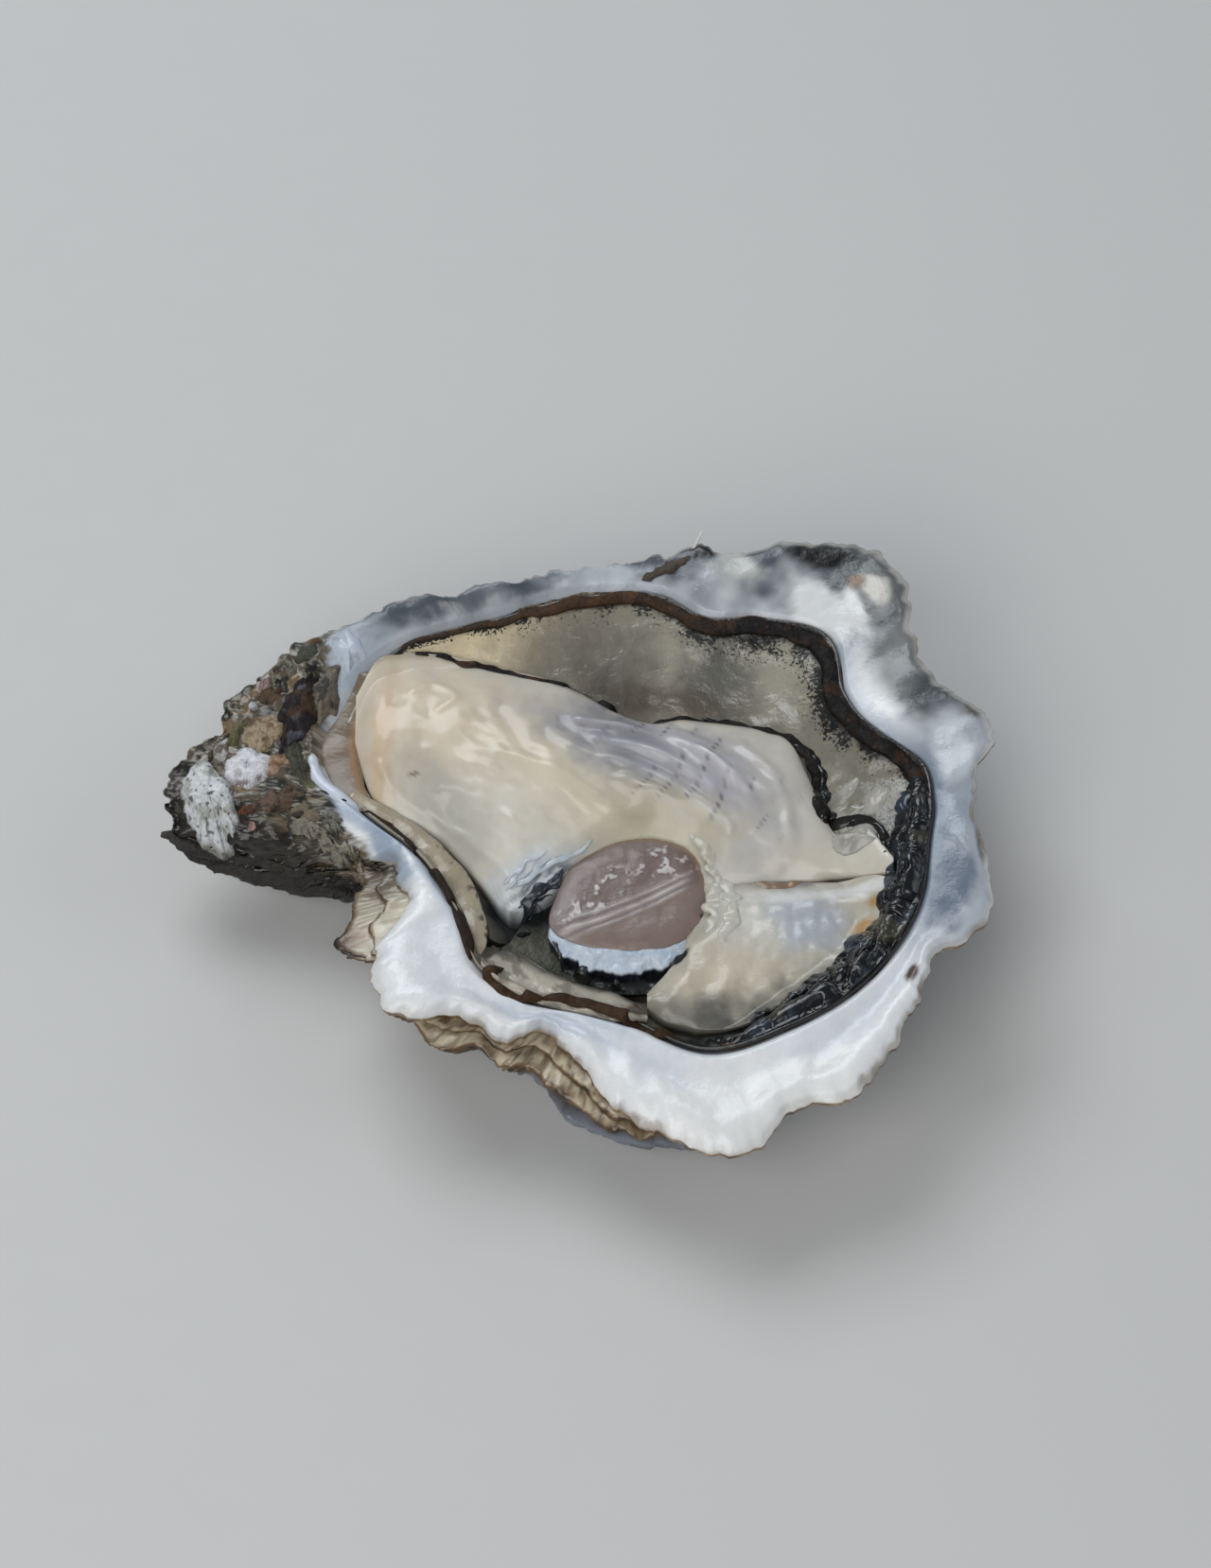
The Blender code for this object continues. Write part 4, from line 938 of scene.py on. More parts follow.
def makeBody():
    grid, up, across = pillow(bodyPlan, liningHigh)
    lift = smooth(up, 0.1, 0.5)
    flat = grid * (1, 1, 0)
    x, y = grid[..., 0], grid[..., 1]
    gills = patch(flat, 5, 6, 13, 5.5, -32, 0.4)
    welt = np.zeros_like(x)
    for middleX, middleY, long, wide, turn, rise in bodyWelts:
        welt += patch(flat, middleX, middleY, long, wide, turn, 0.7, 0.15) * rise
    turned = np.stack((x * math.cos(0.6) - y * math.sin(0.6), (x * math.sin(0.6) + y * math.cos(0.6)) * 2.6, x * 0),
                      axis=-1)
    wrinkle = grit(turned, 7.0, 3, 81) * 0.28 * patch(flat, -12, 1, 14, 9, -30, 0.5)
    soft = grit(flat, 9, 3, 82) * 0.25
    rim = patch(flat, -29.5, 6, 1.5, 12, -10, 0.8) * 0.3
    folds = np.zeros_like(x)
    for path, wide, rise in bodyFolds:
        folds = np.maximum(folds, nearPath(flat, path, wide) * rise * (0.75 + 0.4 * lumps(flat, 2.6, 86)))
    grid[..., 2] += (welt + wrinkle + soft + rim + folds) * lift
    grid = sinkByMuscle(dish(grid, up))
    tones = covered(grid, hue(208, 203, 190))
    tones = marked(tones, flat, bodyMarks)
    tones = tint(tones, hue(120, 108, 84), smooth(across, 0.9, 1.0) * 0.5)
    # fine dark lines across the gills
    angle = math.radians(-30)
    run = x * math.cos(angle) + y * math.sin(angle)
    side = y * math.cos(angle) - x * math.sin(angle)
    stroke = np.abs(np.mod(run + lumps(flat, 5, 84) * 1.2 + side * 0.15, 3.1) - 1.55)
    lines = (1 - smooth(stroke, 0.05, 0.2)) * gills * smooth(lumps(flat, 3, 85), -0.35, 0.2)
    tones = tint(tones, hue(70, 66, 70), lines * 0.8)
    # painted highlight: pale streaks along the raised folds over the gills
    tones = tint(tones, hue(214, 216, 222), np.minimum(folds * 1.3, 1) * gills * 0.7)
    tones = tint(tones, hue(90, 78, 60), patch(flat, -27.1, 5.2, 0.85, 0.28, 10, 0.3) * 0.8)
    # shredded pale and slate streaks on the torn side
    angle = math.radians(40)
    shred = np.stack((x * math.cos(angle) + y * math.sin(angle),
                      (y * math.cos(angle) - x * math.sin(angle)) * 4, x * 0), axis=-1)
    shred = grit(shred, 2.4, 3, 87)
    torn = patch(flat, -12.6, -8.4, 5.5, 2.6, 40, 0.6)
    tones = tint(tones, hue(226, 230, 232), torn * smooth(shred, 0.0, 0.5) * 0.8)
    torn = patch(flat, -12.2, -9.6, 5.5, 1.8, 40, 0.6)
    tones = tint(tones, hue(74, 84, 98), torn * smooth(-shred, -0.1, 0.5) * 0.85)
    return makePiece("bodyFlesh", grid, tones, fleshWet, ("body",))


# marks on the fold, as on the lining
foldMarks = (
    (16.5, -8.7, 6.5, 0.9, 2, 0.5, (116, 96, 76), 0.9),
    (13, -14.5, 4, 5, 0, 0.7, (222, 220, 212), 0.9),
    (10, -22, 7, 4, 14, 0.8, (214, 204, 182), 0.75),
    (19.5, -14, 4.2, 4.6, 8, 0.6, (180, 190, 204), 0.75),
    (22, -11.0, 9.5, 1.0, 2, 0.6, (232, 232, 230), 0.95),
    (6, -26.6, 8, 2.0, 4, 0.8, (150, 146, 132), 0.7),
    (27.2, -12.9, 0.9, 0.7, 0, 0.6, (186, 142, 78), 0.9),
    (25.6, -16.0, 1.3, 1.0, 30, 0.6, (186, 142, 78), 0.9),
)


def makeFold():
    grid, up, across = pillow(foldPlan, liningHigh)
    lift = smooth(up, 0.1, 0.5)
    flat = grid * (1, 1, 0)
    x, y = grid[..., 0], grid[..., 1]
    spine = patch(flat, 20, -12.4, 9, 1.2, 2, 0.8) * 0.5
    striped = np.sin(x * 4.2 + lumps(flat, 4, 91) * 2.5) * 0.02 * patch(flat, 19, -16, 7, 4, 10, 0.6)
    wrinkles = np.sin((x * 0.8 + y * 1.3) * 1.6 + lumps(flat, 3, 92) * 2) * 0.12
    wrinkles = wrinkles * patch(flat, 23.4, -18.4, 3.4, 4, 30, 0.6)
    soft = grit(flat, 5, 3, 93) * 0.3
    grid[..., 2] += (spine + striped + wrinkles + soft) * lift
    grid = sinkByMuscle(dish(grid, up))
    tones = covered(grid, hue(196, 190, 174))
    tones = marked(tones, flat, foldMarks)
    edge = smooth(-across + grit(flat, 2.2, 4, 94) * 0.16, 0.45, 1.0) * smooth(x, 0, 9)
    tones = tint(tones * 0.9, hue(46, 50, 53), edge * 0.75)
    tones = tint(tones, hue(104, 102, 94), patch(flat, 2.5, -25.5, 4.5, 2.2, -10, 0.7) * 0.6)
    return makePiece("lowerFold", grid, tones, foldWet, ("lower_fold",))


def makeFlap():
    grid, up, across = pillow(flapPlan, liningHigh)
    flat = grid * (1, 1, 0)
    lift = smooth(up, 0.05, 0.4)
    ruffle = np.sin(grid[..., 0] * 1.7 + lumps(flat, 3, 95) * 2) * 0.2 * smooth(-across, 0.2, 1.0)
    grid[..., 2] += (grit(flat, 3, 3, 96) * 0.22 + ruffle) * lift
    tones = covered(grid, hue(180, 172, 156))
    tones = tint(tones, hue(200, 192, 176), patch(flat, -12, -21.4, 5, 1.8, -14, 0.7) * 0.7)
    tones = tint(tones, hue(96, 88, 76), smooth(grit(flat, 1.6, 4, 97), 0.15, 0.6) * 0.6)
    tones = tint(tones, hue(66, 66, 58), smooth(across, 0.35, 0.95) * 0.8)
    tones = tint(tones, hue(60, 44, 26), patch(flat, -0.6, -25.4, 1.0, 3.6, -38, 0.5) * 0.85)
    return makePiece("mantleFlap", grid, tones, mantleWet, ("mantle_flap",))


body = makeBody()
fold = makeFold()
flap = makeFlap()
print("body, fold and flap made")


# muscles and liquor

def ovalPlan(middle, half, turn, count, ragged, seed):
    angle = math.radians(turn)
    steps = np.arange(count) * math.tau / count
    circle = np.stack((np.cos(steps), np.sin(steps), steps * 0), axis=1) * 5
    uneven = 1 + grit(circle, 3.2, 3, seed) * ragged
    wide = half[0] * np.cos(steps) * uneven
    deep = half[1] * np.sin(steps) * uneven
    x = middle[0] + wide * math.cos(angle) - deep * math.sin(angle)
    y = middle[1] + wide * math.sin(angle) + deep * math.cos(angle)
    return np.column_stack((x, y))


def makeMuscle():
    plan = musclePlan
    turns = np.arange(plan["columns"]) * math.tau / plan["columns"]
    reach = around(plan["outline"], 1, np.degrees(turns))
    middle = np.array(plan["middle"])
    rim = middle + np.column_stack((np.cos(turns), np.sin(turns))) * reach[:, None]
    rings = []
    for share in np.linspace(0.02, 1.0, plan["rings"]):
        flat = middle + (rim - middle) * share
        high = plan["top"] + 0.5 - 0.7 * max(0, (share - 0.6) / 0.4) ** 2.4
        high = high + plan["slant"] * (flat[:, 1] - plan["slantFrom"])
        rings.append(np.column_stack((flat, high)))
    for drop in (0.4, 1.2, 2.4, 4.0):
        rings.append(np.column_stack((rim, rings[plan["rings"] - 1][:, 2] - drop)))
    rings.append(np.column_stack((middle + (rim - middle) * 0.5, np.full(len(rim), 9.5))))
    grid = np.array(rings)
    flat = grid * (1, 1, 0)
    x, y = grid[..., 0], grid[..., 1]
    # two pale glossy ridges sweep across the front of the cut face
    bend = -14.9 + 0.26 * (x + 10) + 0.012 * (x + 10) ** 2
    ridge = np.exp(-((y - bend) / 0.35) ** 2) + 0.8 * np.exp(-((y - bend - 1.1 + 0.03 * x) / 0.3) ** 2)
    ridge = ridge + 0.5 * np.exp(-((y - bend + 1.0) / 0.3) ** 2)
    ridge = ridge * smooth(x, -10.5, -8.5) * (1 - smooth(x, 4.5, 6.5)) * (0.75 + 0.4 * lumps(flat, 2.5, 101))
    face = slice(0, plan["rings"])
    grid[face, :, 2] += (ridge * 0.22 + grit(flat, 3, 3, 102) * 0.07)[face]
    tones = covered(grid, hue(124, 110, 108))
    tones = tint(tones, hue(116, 99, 92), patch(flat, 2, -5.5, 7, 3.5, 10, 0.8) * 0.8)
    tones = tint(tones, hue(136, 118, 108), smooth(bend - y, 0.4, 1.8) * 0.75)
    far = muscleFar(x, y)
    tones = tint(tones, hue(150, 124, 98), smooth(far, 0.9, 0.98) * smooth(y, -9.5, -5) * 0.85)
    # pale tint on the two ridges: partly their own colour, partly painted highlight
    tones = tint(tones, hue(202, 196, 192), ridge * 0.85)
    flecks = smooth(lumps(flat, 0.75, 103) + 0.6 * lumps(flat, 0.35, 104), 0.38, 0.6)
    cluster = np.maximum(patch(flat, 2.4, -5.6, 3.4, 2.0, 10, 0.5), patch(flat, -3.2, -8.0, 2.6, 1.4, 30, 0.5))
    cluster = np.maximum(cluster, patch(flat, -6.6, -11.6, 3.2, 1.2, 24, 0.5))
    grid[face, :, 2] += (flecks * cluster * 0.08)[face]
    tones = tint(tones, hue(208, 202, 202), flecks * cluster * 0.8)
    tones = tint(tones, hue(30, 24, 24), patch(flat, 7.4, -12.0, 0.5, 0.3, 40, 0.4, 0.5, 0.5) * 0.9)
    tones = tint(tones, hue(176, 148, 88), patch(flat, 7.0, -14.2, 0.8, 0.35, 10, 0.4, 0.5, 0.5) * 0.7)
    return makePiece("adductorMuscle", grid, tones, muscleWet, ("adductor_muscle",))


catchPlan = dict(low=203, high=328, columns=300, across=26, wide=2.8)


def crescent():
    # the catch muscle: a white band hugging the front of the adductor
    plan = catchPlan
    turns = np.radians(np.linspace(plan["low"], plan["high"], plan["columns"]))
    reach = around(musclePlan["outline"], 1, np.degrees(turns))
    out = np.column_stack((np.cos(turns), np.sin(turns)))
    inner = np.array(musclePlan["middle"]) + out * (reach - 0.3)[:, None]
    run = np.linspace(0, 1, len(turns))
    curl = np.column_stack((turns * 9, turns * 0, turns * 0))
    wide = 0.3 + plan["wide"] * np.sin(math.pi * run ** 0.95) ** 0.8 * (1 + grit(curl, 1.4, 3, 111) * 0.16)
    spread = np.linspace(0, 1, plan["across"])
    shares = np.concatenate((spread, (1.03, 1.05, 0.9, 0.3, 0.0)))
    drops = np.concatenate((0.15 + 0.7 * spread ** 1.8, (1.3, 2.2, 3.2, 3.4, 3.2)))
    rimHigh = musclePlan["top"] + musclePlan["slant"] * (inner[:, 1] - musclePlan["slantFrom"]) - 0.05
    bands = []
    for share, drop in zip(shares, drops):
        flat = inner + out * (wide * share)[:, None]
        bump = grit(np.column_stack((curl[:, 0] * 0.55, curl[:, 1] + share * 2.6, curl[:, 2])), 1.3, 4, 113) * 0.14
        bands.append(np.column_stack((flat, rimHigh - drop + bump * (share > 0.08))))
    grid = np.array(bands).transpose(1, 0, 2)
    tones = covered(grid, hue(194, 205, 217))
    streaks = smooth(grit(grid * (0.6, 1.4, 1.0), 2.0, 4, 112), 0.0, 0.8)
    tones = tint(tones, hue(158, 178, 202), streaks * 0.5)
    across = np.broadcast_to(np.concatenate((spread, np.full(5, 1.3)))[None, :], grid.shape[:2])
    # painted shade: near black down the outer side of the band
    tones = tint(tones, hue(20, 26, 36), smooth(across + grit(grid, 0.8, 3, 114) * 0.08, 0.98, 1.18))
    return makePiece("catchMuscle", grid, tones, muscleWet, ("catch_muscle",))


liquorPlan = dict(
    level=12.0, stations=60, columns=36,
    slices=(
        (-15.6, -16.4, -14.8), (-14.4, -17.8, -12.8), (-12.6, -18.6, -10.8), (-10.0, -19.4, -9.0),
        (-6.0, -20.2, -10.0), (0.0, -20.6, -14.0), (3.2, -20.4, -17.0), (4.6, -19.8, -18.6)),
)


def makeLiquor():
    rows = liquorPlan["slices"]
    stations, columns = liquorPlan["stations"], liquorPlan["columns"]
    xs = np.linspace(rows[0][0] - 1.0, rows[-1][0] + 0.8, stations)
    front, back = along(rows, 1, xs) - 0.9, along(rows, 2, xs) + 0.9
    spread = np.sqrt(np.clip(1 - np.abs(np.linspace(-1, 1, stations)) ** 6, 0.02, 1))
    middle = (front + back) / 2
    front, back = middle + (front - middle) * spread, middle + (back - middle) * spread
    angles = np.arange(columns) * math.tau / columns
    across = np.sign(np.cos(angles)) * np.abs(np.cos(angles)) ** 0.6
    y = middle[:, None] + (back - front)[:, None] / 2 * across[None, :]
    x = np.broadcast_to(xs[:, None], y.shape)
    z = np.where(np.sin(angles)[None, :] >= 0, liquorPlan["level"], liquorPlan["level"] - 0.5) + 0 * y
    z = z + lumps(np.stack((x, y, y * 0), axis=-1), 3.5, 121) * 0.05
    grid = np.stack((x, y, z), axis=-1)
    tones = covered(grid, hue(62, 63, 52))
    tones = tint(tones, hue(20, 24, 28), smooth(x, -7, -2) * 0.9)
    tones = tint(tones, hue(20, 26, 34), smooth(y, -14, -11) * 0.8)
    tones = tint(tones, hue(112, 112, 96), patch(grid * (1, 1, 0), -13.2, -15.6, 2.4, 1.0, -20, 0.7, 0.6) * 0.6)
    return makePiece("liquorPool", grid, tones, liquorClear, ("liquor",))


muscle = makeMuscle()
catch = crescent()
liquor = makeLiquor()
print("muscles and liquor made")


# strands and mounds laid on what is below

onAll = surfaceOf(shell, lining, body, fold, flap, muscle, catch, liquor)


def strand(name, points, finishUsed, slot, tone, bumps=0.0, bumpSize=1.2, sink=0.15, columns=18, step=0.22,
           flatness=0.6, seed=7, follow=True, paint=None, ruffle=0.0, ruffleSize=2.0, lift=0.0, bed=None, evened=3):
    # points: x, y, half width, then height above the ground if not following it
    knots = np.array(points, float)
    length = np.linalg.norm(np.diff(knots[:, :2], axis=0), axis=1).sum()
    count = max(12, int(length / step))
    path = throughPoints(knots, count)
    flat = path[:, :2].copy()
    ahead = np.gradient(flat, axis=0)
    ahead /= np.maximum(np.linalg.norm(ahead, axis=1, keepdims=True), 1e-9)
    side = np.column_stack((-ahead[:, 1], ahead[:, 0]))
    run = np.column_stack((flat, np.zeros(count)))
    if ruffle:
        flat = flat + side * (lumps(run, ruffleSize, seed + 1) * ruffle)[:, None]
    half = np.maximum(path[:, 2], 0.05)
    half = half * (1 + lumps(run, bumpSize, seed) * bumps)
    if follow:
        high = settle(bed or onAll, flat)
        high = np.maximum(high, high.max() - 7)
        high = levelled(high, evened)
        if knots.shape[1] > 3:
            high = high + path[:, 3]
    else:
        high = path[:, 3]
    ends = np.sqrt(np.clip(np.minimum(np.arange(count), np.arange(count)[::-1]) / 4.0, 0.03, 1))
    half = half * ends
    angles = np.arange(columns) * math.tau / columns
    across = np.cos(angles)[None, :] * half[:, None]
    tall = np.sin(angles)[None, :] * half[:, None] * flatness
    x = flat[:, 0:1] + side[:, 0:1] * across
    y = flat[:, 1:2] + side[:, 1:2] * across
    z = high[:, None] + tall + lift - sink
    grid = np.stack((x, y, z), axis=-1)
    rough = lumps(grid, bumpSize * 0.7, seed + 2) * bumps * half[:, None] * 0.5
    tones = covered(grid, np.asarray(tone))
    if paint:
        tones = paint(tones, grid, np.broadcast_to(np.cos(angles)[None, :], x.shape),
                      np.broadcast_to(np.linspace(0, 1, count)[:, None], x.shape))
    if name is None:
        return grid, tones
    return makePiece(name, grid, tones, finishUsed, (), rough)


def mound(name, x, y, halfLong, halfWide, turn, height, finishUsed, slot, paint, mouth=0.0, ridges=0, ridgeDeep=0.0,
          ragged=0.12, sink=0.3, columns=96, rings=30, seed=9, stands=(), ringed=0.0, power=2.2, slump=0.0):
    middle = np.array((x, y))
    rim = ovalPlan(middle, (halfLong, halfWide), turn, columns, ragged, seed)
    angles = np.arange(columns) * math.tau / columns
    rows, shares = [], []
    outline = []
    for share in np.linspace(0.0, 1.0, rings)[1:]:
        flat = middle + (rim - middle) * share
        rise = (1 - share ** power) ** 0.75
        if mouth:
            rise = rise - 0.75 * (1 - smooth(share, mouth * 0.7, mouth * 1.15))
        flute = 1 + ridgeDeep * np.cos(angles * ridges) * share
        flat = middle + (flat - middle) * (1 + 0.35 * ridgeDeep * np.cos(angles * ridges) * share)[:, None]
        wave = ringed * math.cos(share * 14)
        outline.append((flat, height * (rise * flute + wave)))
        shares.append(share)
    centre = ground(onAll, x, y, None)
    if centre is None:
        print("no ground under", name)
        centre = 12.0
    base = settle(onAll, rim, centre - 2.5)
    for (flat, rise), share in zip(outline, shares):
        bed = centre * (1 - share) + base * share
        down = slump * (flat[:, 0] - x)
        rows.append(np.column_stack((flat, np.maximum(bed + rise + down * (1 - share) - sink, 0.3))))
    rows.append(np.column_stack((middle + (rim - middle) * 0.85, np.maximum(base - sink - 0.5, 0.2))))
    grid = np.array(rows)
    relief = grit(grid, max(halfWide * 0.6, 0.4), 4, seed + 3) * 0.06 * height
    relief[-1] = 0
    far = np.broadcast_to(np.array(shares + [1.0])[:, None], grid.shape[:2])
    turnShare = np.broadcast_to(angles[None, :], grid.shape[:2])
    return makePiece(name, grid, paint(grid, far, turnShare), finishUsed, stands, relief)


# outer fringe: folded dark band along the lining's edge

def fringePath(low, high, inside, scale, step=6):
    # places along the lining's edge: plan place, half width
    rows = []
    table = np.array(fringePlan)
    for bearing in np.arange(low, high + 0.1, step):
        turn = math.radians(bearing)
        edge = float(around(shellPlan["crest"], 1, np.array([bearing]))[0])
        wide = float(smoothCurve(table[:, 0], table[:, 1], np.array([bearing]))[0])
        inset = float(around(liningPlan["edge"], 1, np.array([bearing]))[0])
        reach = edge - inset - wide * inside
        rows.append((reach * math.cos(turn), reach * math.sin(turn), max(0.12, wide * scale)))
    return rows


def paintFringe(tones, grid, across, run):
    bent = signed(bearingOf(grid[..., 0], grid[..., 1]))
    table = np.array(fringePlan)
    dark = smoothCurve(table[:, 0], table[:, 2], bent)
    rust = smoothCurve(table[:, 0], table[:, 3], bent)
    mixed = tint(covered(grid, hue(158, 124, 82)), hue(96, 58, 26), rust)
    mixed = tint(mixed, hue(15, 11, 8), dark)
    fine = grit(grid, 1.4, 3, 131)
    rim = smooth(-across + fine * 0.35, 0.45, 0.9) * smooth(bent, -20, 0) * (1 - smooth(bent, 96, 112))
    mixed = tint(mixed, hue(98, 62, 32), rim * 0.8)
    mixed = tint(mixed, hue(104, 64, 30), smooth(fine, 0.0, 0.6) * rust * 0.7)
    return tint(mixed, hue(44, 34, 26), smooth(fine, 0.3, 0.8) * 0.4)


outerFringeBandPlan = dict(
    points=fringePath(-74, 144, 0.4, 0.4),
    finishUsed=fringeWet, slot="mantle_flesh", tone=hue(20, 15, 11), bumps=0.16, bumpSize=2.4, flatness=0.5,
    columns=30, seed=141, paint=paintFringe, sink=0.1, ruffle=0.25, ruffleSize=2.8)
band = strand("outerFringeBand", **outerFringeBandPlan)
print("outer fringe made")


def paintInnerFringe(tones, grid, across, run):
    fine = grit(grid, 1.2, 3, 161)
    tones = tint(tones, hue(74, 50, 32), smooth(fine, 0.1, 0.7) * (1 - smooth(run, 0.45, 0.7)) * 0.8)
    return tint(tones, hue(70, 62, 54), smooth(np.abs(across) + fine * 0.2, 0.75, 1.0) * 0.5)


innerFringePath = (
    (-30.0, 22.6, 0.2), (-25.5, 22.5, 0.35), (-20.4, 21.4, 0.5), (-12.2, 19.6, 0.5), (-7.2, 18.1, 0.6),
    (-4.9, 16.4, 0.8), (-0.7, 14.2, 0.85), (2.5, 15.0, 0.7), (7.4, 15.1, 0.7), (12.3, 14.2, 0.8),
    (15.5, 12.7, 0.75), (18.9, 10.4, 0.8), (20.9, 7.8, 1.0), (21.6, 4.6, 1.4), (20.9, 1.2, 1.25),
    (21.9, -1.0, 1.0), (24.6, -0.9, 0.75), (27.2, -1.8, 0.75), (28.6, -4.2, 0.8), (28.4, -7.0, 0.5))
innerFringePlan = dict(
    points=innerFringePath,
    finishUsed=fringeWet, slot="mantle_flesh", tone=hue(20, 16, 13), bumps=0.25, bumpSize=1.6, flatness=0.4,
    columns=22, step=0.18, seed=171, paint=paintInnerFringe, sink=0.05, ruffle=0.25, ruffleSize=1.8)
strand("innerFringe", **innerFringePlan)
innerFringeRidgePlan = dict(
    points=[(x, y, wide * 0.38) for x, y, wide in innerFringePath[8:]],
    finishUsed=frillWet, slot="mantle_flesh", tone=hue(14, 14, 15), bumps=0.4, bumpSize=1.2, flatness=0.9,
    columns=16, step=0.16, seed=175, sink=0.0, ruffle=0.5, ruffleSize=1.5)
strand("innerFringeRidge", **innerFringeRidgePlan)
leftMembranePlan = dict(
    points=(
        (-32.6, 20.0, 1.2), (-34.9, 17.0, 2.2), (-36.1, 12.8, 2.5), (-35.9, 8.2, 2.4), (-34.6, 4.2, 1.8),
        (-32.2, 1.0, 0.9)),
    finishUsed=foldWet, slot="mantle_flesh", tone=hue(120, 104, 86), bumps=0.04, bumpSize=3.4, flatness=0.22,
    columns=36, seed=177, sink=0.1, ruffle=0.1, lift=0.3, evened=60,
    paint=lambda tones, grid, across, run: tint(
        tones, hue(160, 122, 84), np.exp(-((np.abs(across) - 0.6) / 0.2) ** 2) * smooth(across, 0.2, 0.5) * 0.8))
strand("leftMembrane", **leftMembranePlan)

# front left strips beside the belly
frontStripPalePlan = dict(
    points=(
        (-35.5, 4.0, 0.6), (-31.5, 1.2, 1.2), (-27.4, -1.9, 1.5), (-24.3, -5.0, 1.7), (-21.8, -8.6, 1.9),
        (-20.3, -12.0, 1.8), (-19.2, -15.6, 1.3), (-18.8, -17.8, 0.4)),
    finishUsed=mantleWet, slot="mantle_flesh", tone=hue(172, 160, 138), bumps=0.08, bumpSize=3.0, flatness=0.45,
    columns=26, seed=181, sink=0.1, lift=0.35,
    paint=lambda tones, grid, across, run: tint(
        tones, hue(40, 30, 20),
        smooth(lumps(grid, 0.55, 182), 0.2, 0.45) * smooth(np.abs(across), 0.2, 0.9) * smooth(run, 0.3, 0.5)))
strand("frontStripPale", **frontStripPalePlan)
frontStripDarkPlan = dict(
    points=(
        (-38.3, 3.4, 0.1), (-35.3, 1.9, 0.16), (-30.9, -0.1, 0.2), (-28.2, -2.9, 0.28), (-25.6, -6.3, 0.42),
        (-23.1, -9.8, 0.6), (-21.6, -13.7, 0.8), (-20.3, -18.0, 0.85), (-19.9, -19.6, 0.4)),
    finishUsed=fringeWet, slot="mantle_flesh", tone=hue(46, 33, 22), bumps=0.3, bumpSize=2.4, flatness=0.7,
    seed=191, sink=0.0, lift=0.1)
strand("frontStripDark", **frontStripDarkPlan)
frontStripInnerPlan = dict(
    points=(
        (-31.0, -0.2, 0.15), (-26.7, -2.1, 0.22), (-23.3, -3.8, 0.28), (-21.0, -6.0, 0.32), (-19.7, -8.8, 0.3),
        (-18.4, -12.4, 0.3), (-17.9, -14.2, 0.15)),
    finishUsed=fringeWet, slot="mantle_flesh", tone=hue(92, 70, 44), bumps=0.1, bumpSize=1.8, flatness=0.8,
    seed=201, sink=0.0, lift=0.3)
strand("frontStripInner", **frontStripInnerPlan)
raggedLinePlan = dict(
    points=(
        (-19.6, -15.9, 0.3), (-18.4, -14.9, 0.6), (-16.5, -14.2, 0.55), (-14.8, -13.4, 0.45), (-13.0, -13.0, 0.2)),
    finishUsed=fringeWet, slot="mantle_flesh", tone=hue(16, 14, 12), bumps=0.6, bumpSize=0.7, flatness=0.7,
    seed=211, sink=0.0, ruffle=0.25, ruffleSize=0.9)
strand("raggedLine", **raggedLinePlan)
flapEdgePlan = dict(
    points=(
        (-16.0, -19.9, 0.4), (-17.2, -20.5, 0.7), (-17.5, -22.2, 0.85), (-15.8, -23.9, 0.85), (-13.1, -24.6, 0.7),
        (-11.2, -24.7, 0.3)),
    finishUsed=fringeWet, slot="mantle_flesh", tone=hue(66, 45, 26), bumps=0.12, bumpSize=1.8, flatness=0.75,
    seed=221, sink=0.0, lift=0.15)
strand("flapEdge", **flapEdgePlan)
flapEdgeLongPlan = dict(
    points=(
        (-11.8, -24.6, 0.3), (-9.4, -24.9, 0.6), (-6.4, -25.6, 0.65), (-3.8, -26.5, 0.75), (-1.0, -27.8, 0.9),
        (2.0, -28.8, 0.7), (4.4, -29.4, 0.3)),
    finishUsed=fringeWet, slot="mantle_flesh", tone=hue(62, 42, 24), bumps=0.1, bumpSize=1.8, flatness=0.6,
    seed=231, sink=0.0)
strand("flapEdgeLong", **flapEdgeLongPlan)
print("inner fringe and strips made")


# ruffles: glossy black frills at the front right

ruffleBand = (
    # bearing, how far in from the lining's edge it lies: outer side, inner side, height
    (-80, 0.6, 1.4, 0.2), (-72, 0.5, 2.2, 0.6), (-62, 0.4, 3.4, 0.9), (-50, 0.3, 4.8, 1.1), (-38, 0.3, 5.2, 1.2),
    (-26, 0.3, 4.6, 1.1), (-14, 0.3, 4.3, 1.0), (-4, 0.3, 4.0, 0.9), (4, 0.6, 3.2, 0.6), (8, 1.2, 2.2, 0.2))


rufflePlan = dict(columns=460, rows=54, thick=1.6, warp=1.1, missing=14.0)


def warpedBy(points, amount):
    shift = np.stack((lumps(points, 2.6, 251), lumps(points, 2.6, 252), points[..., 0] * 0), axis=-1)
    return points + shift * amount


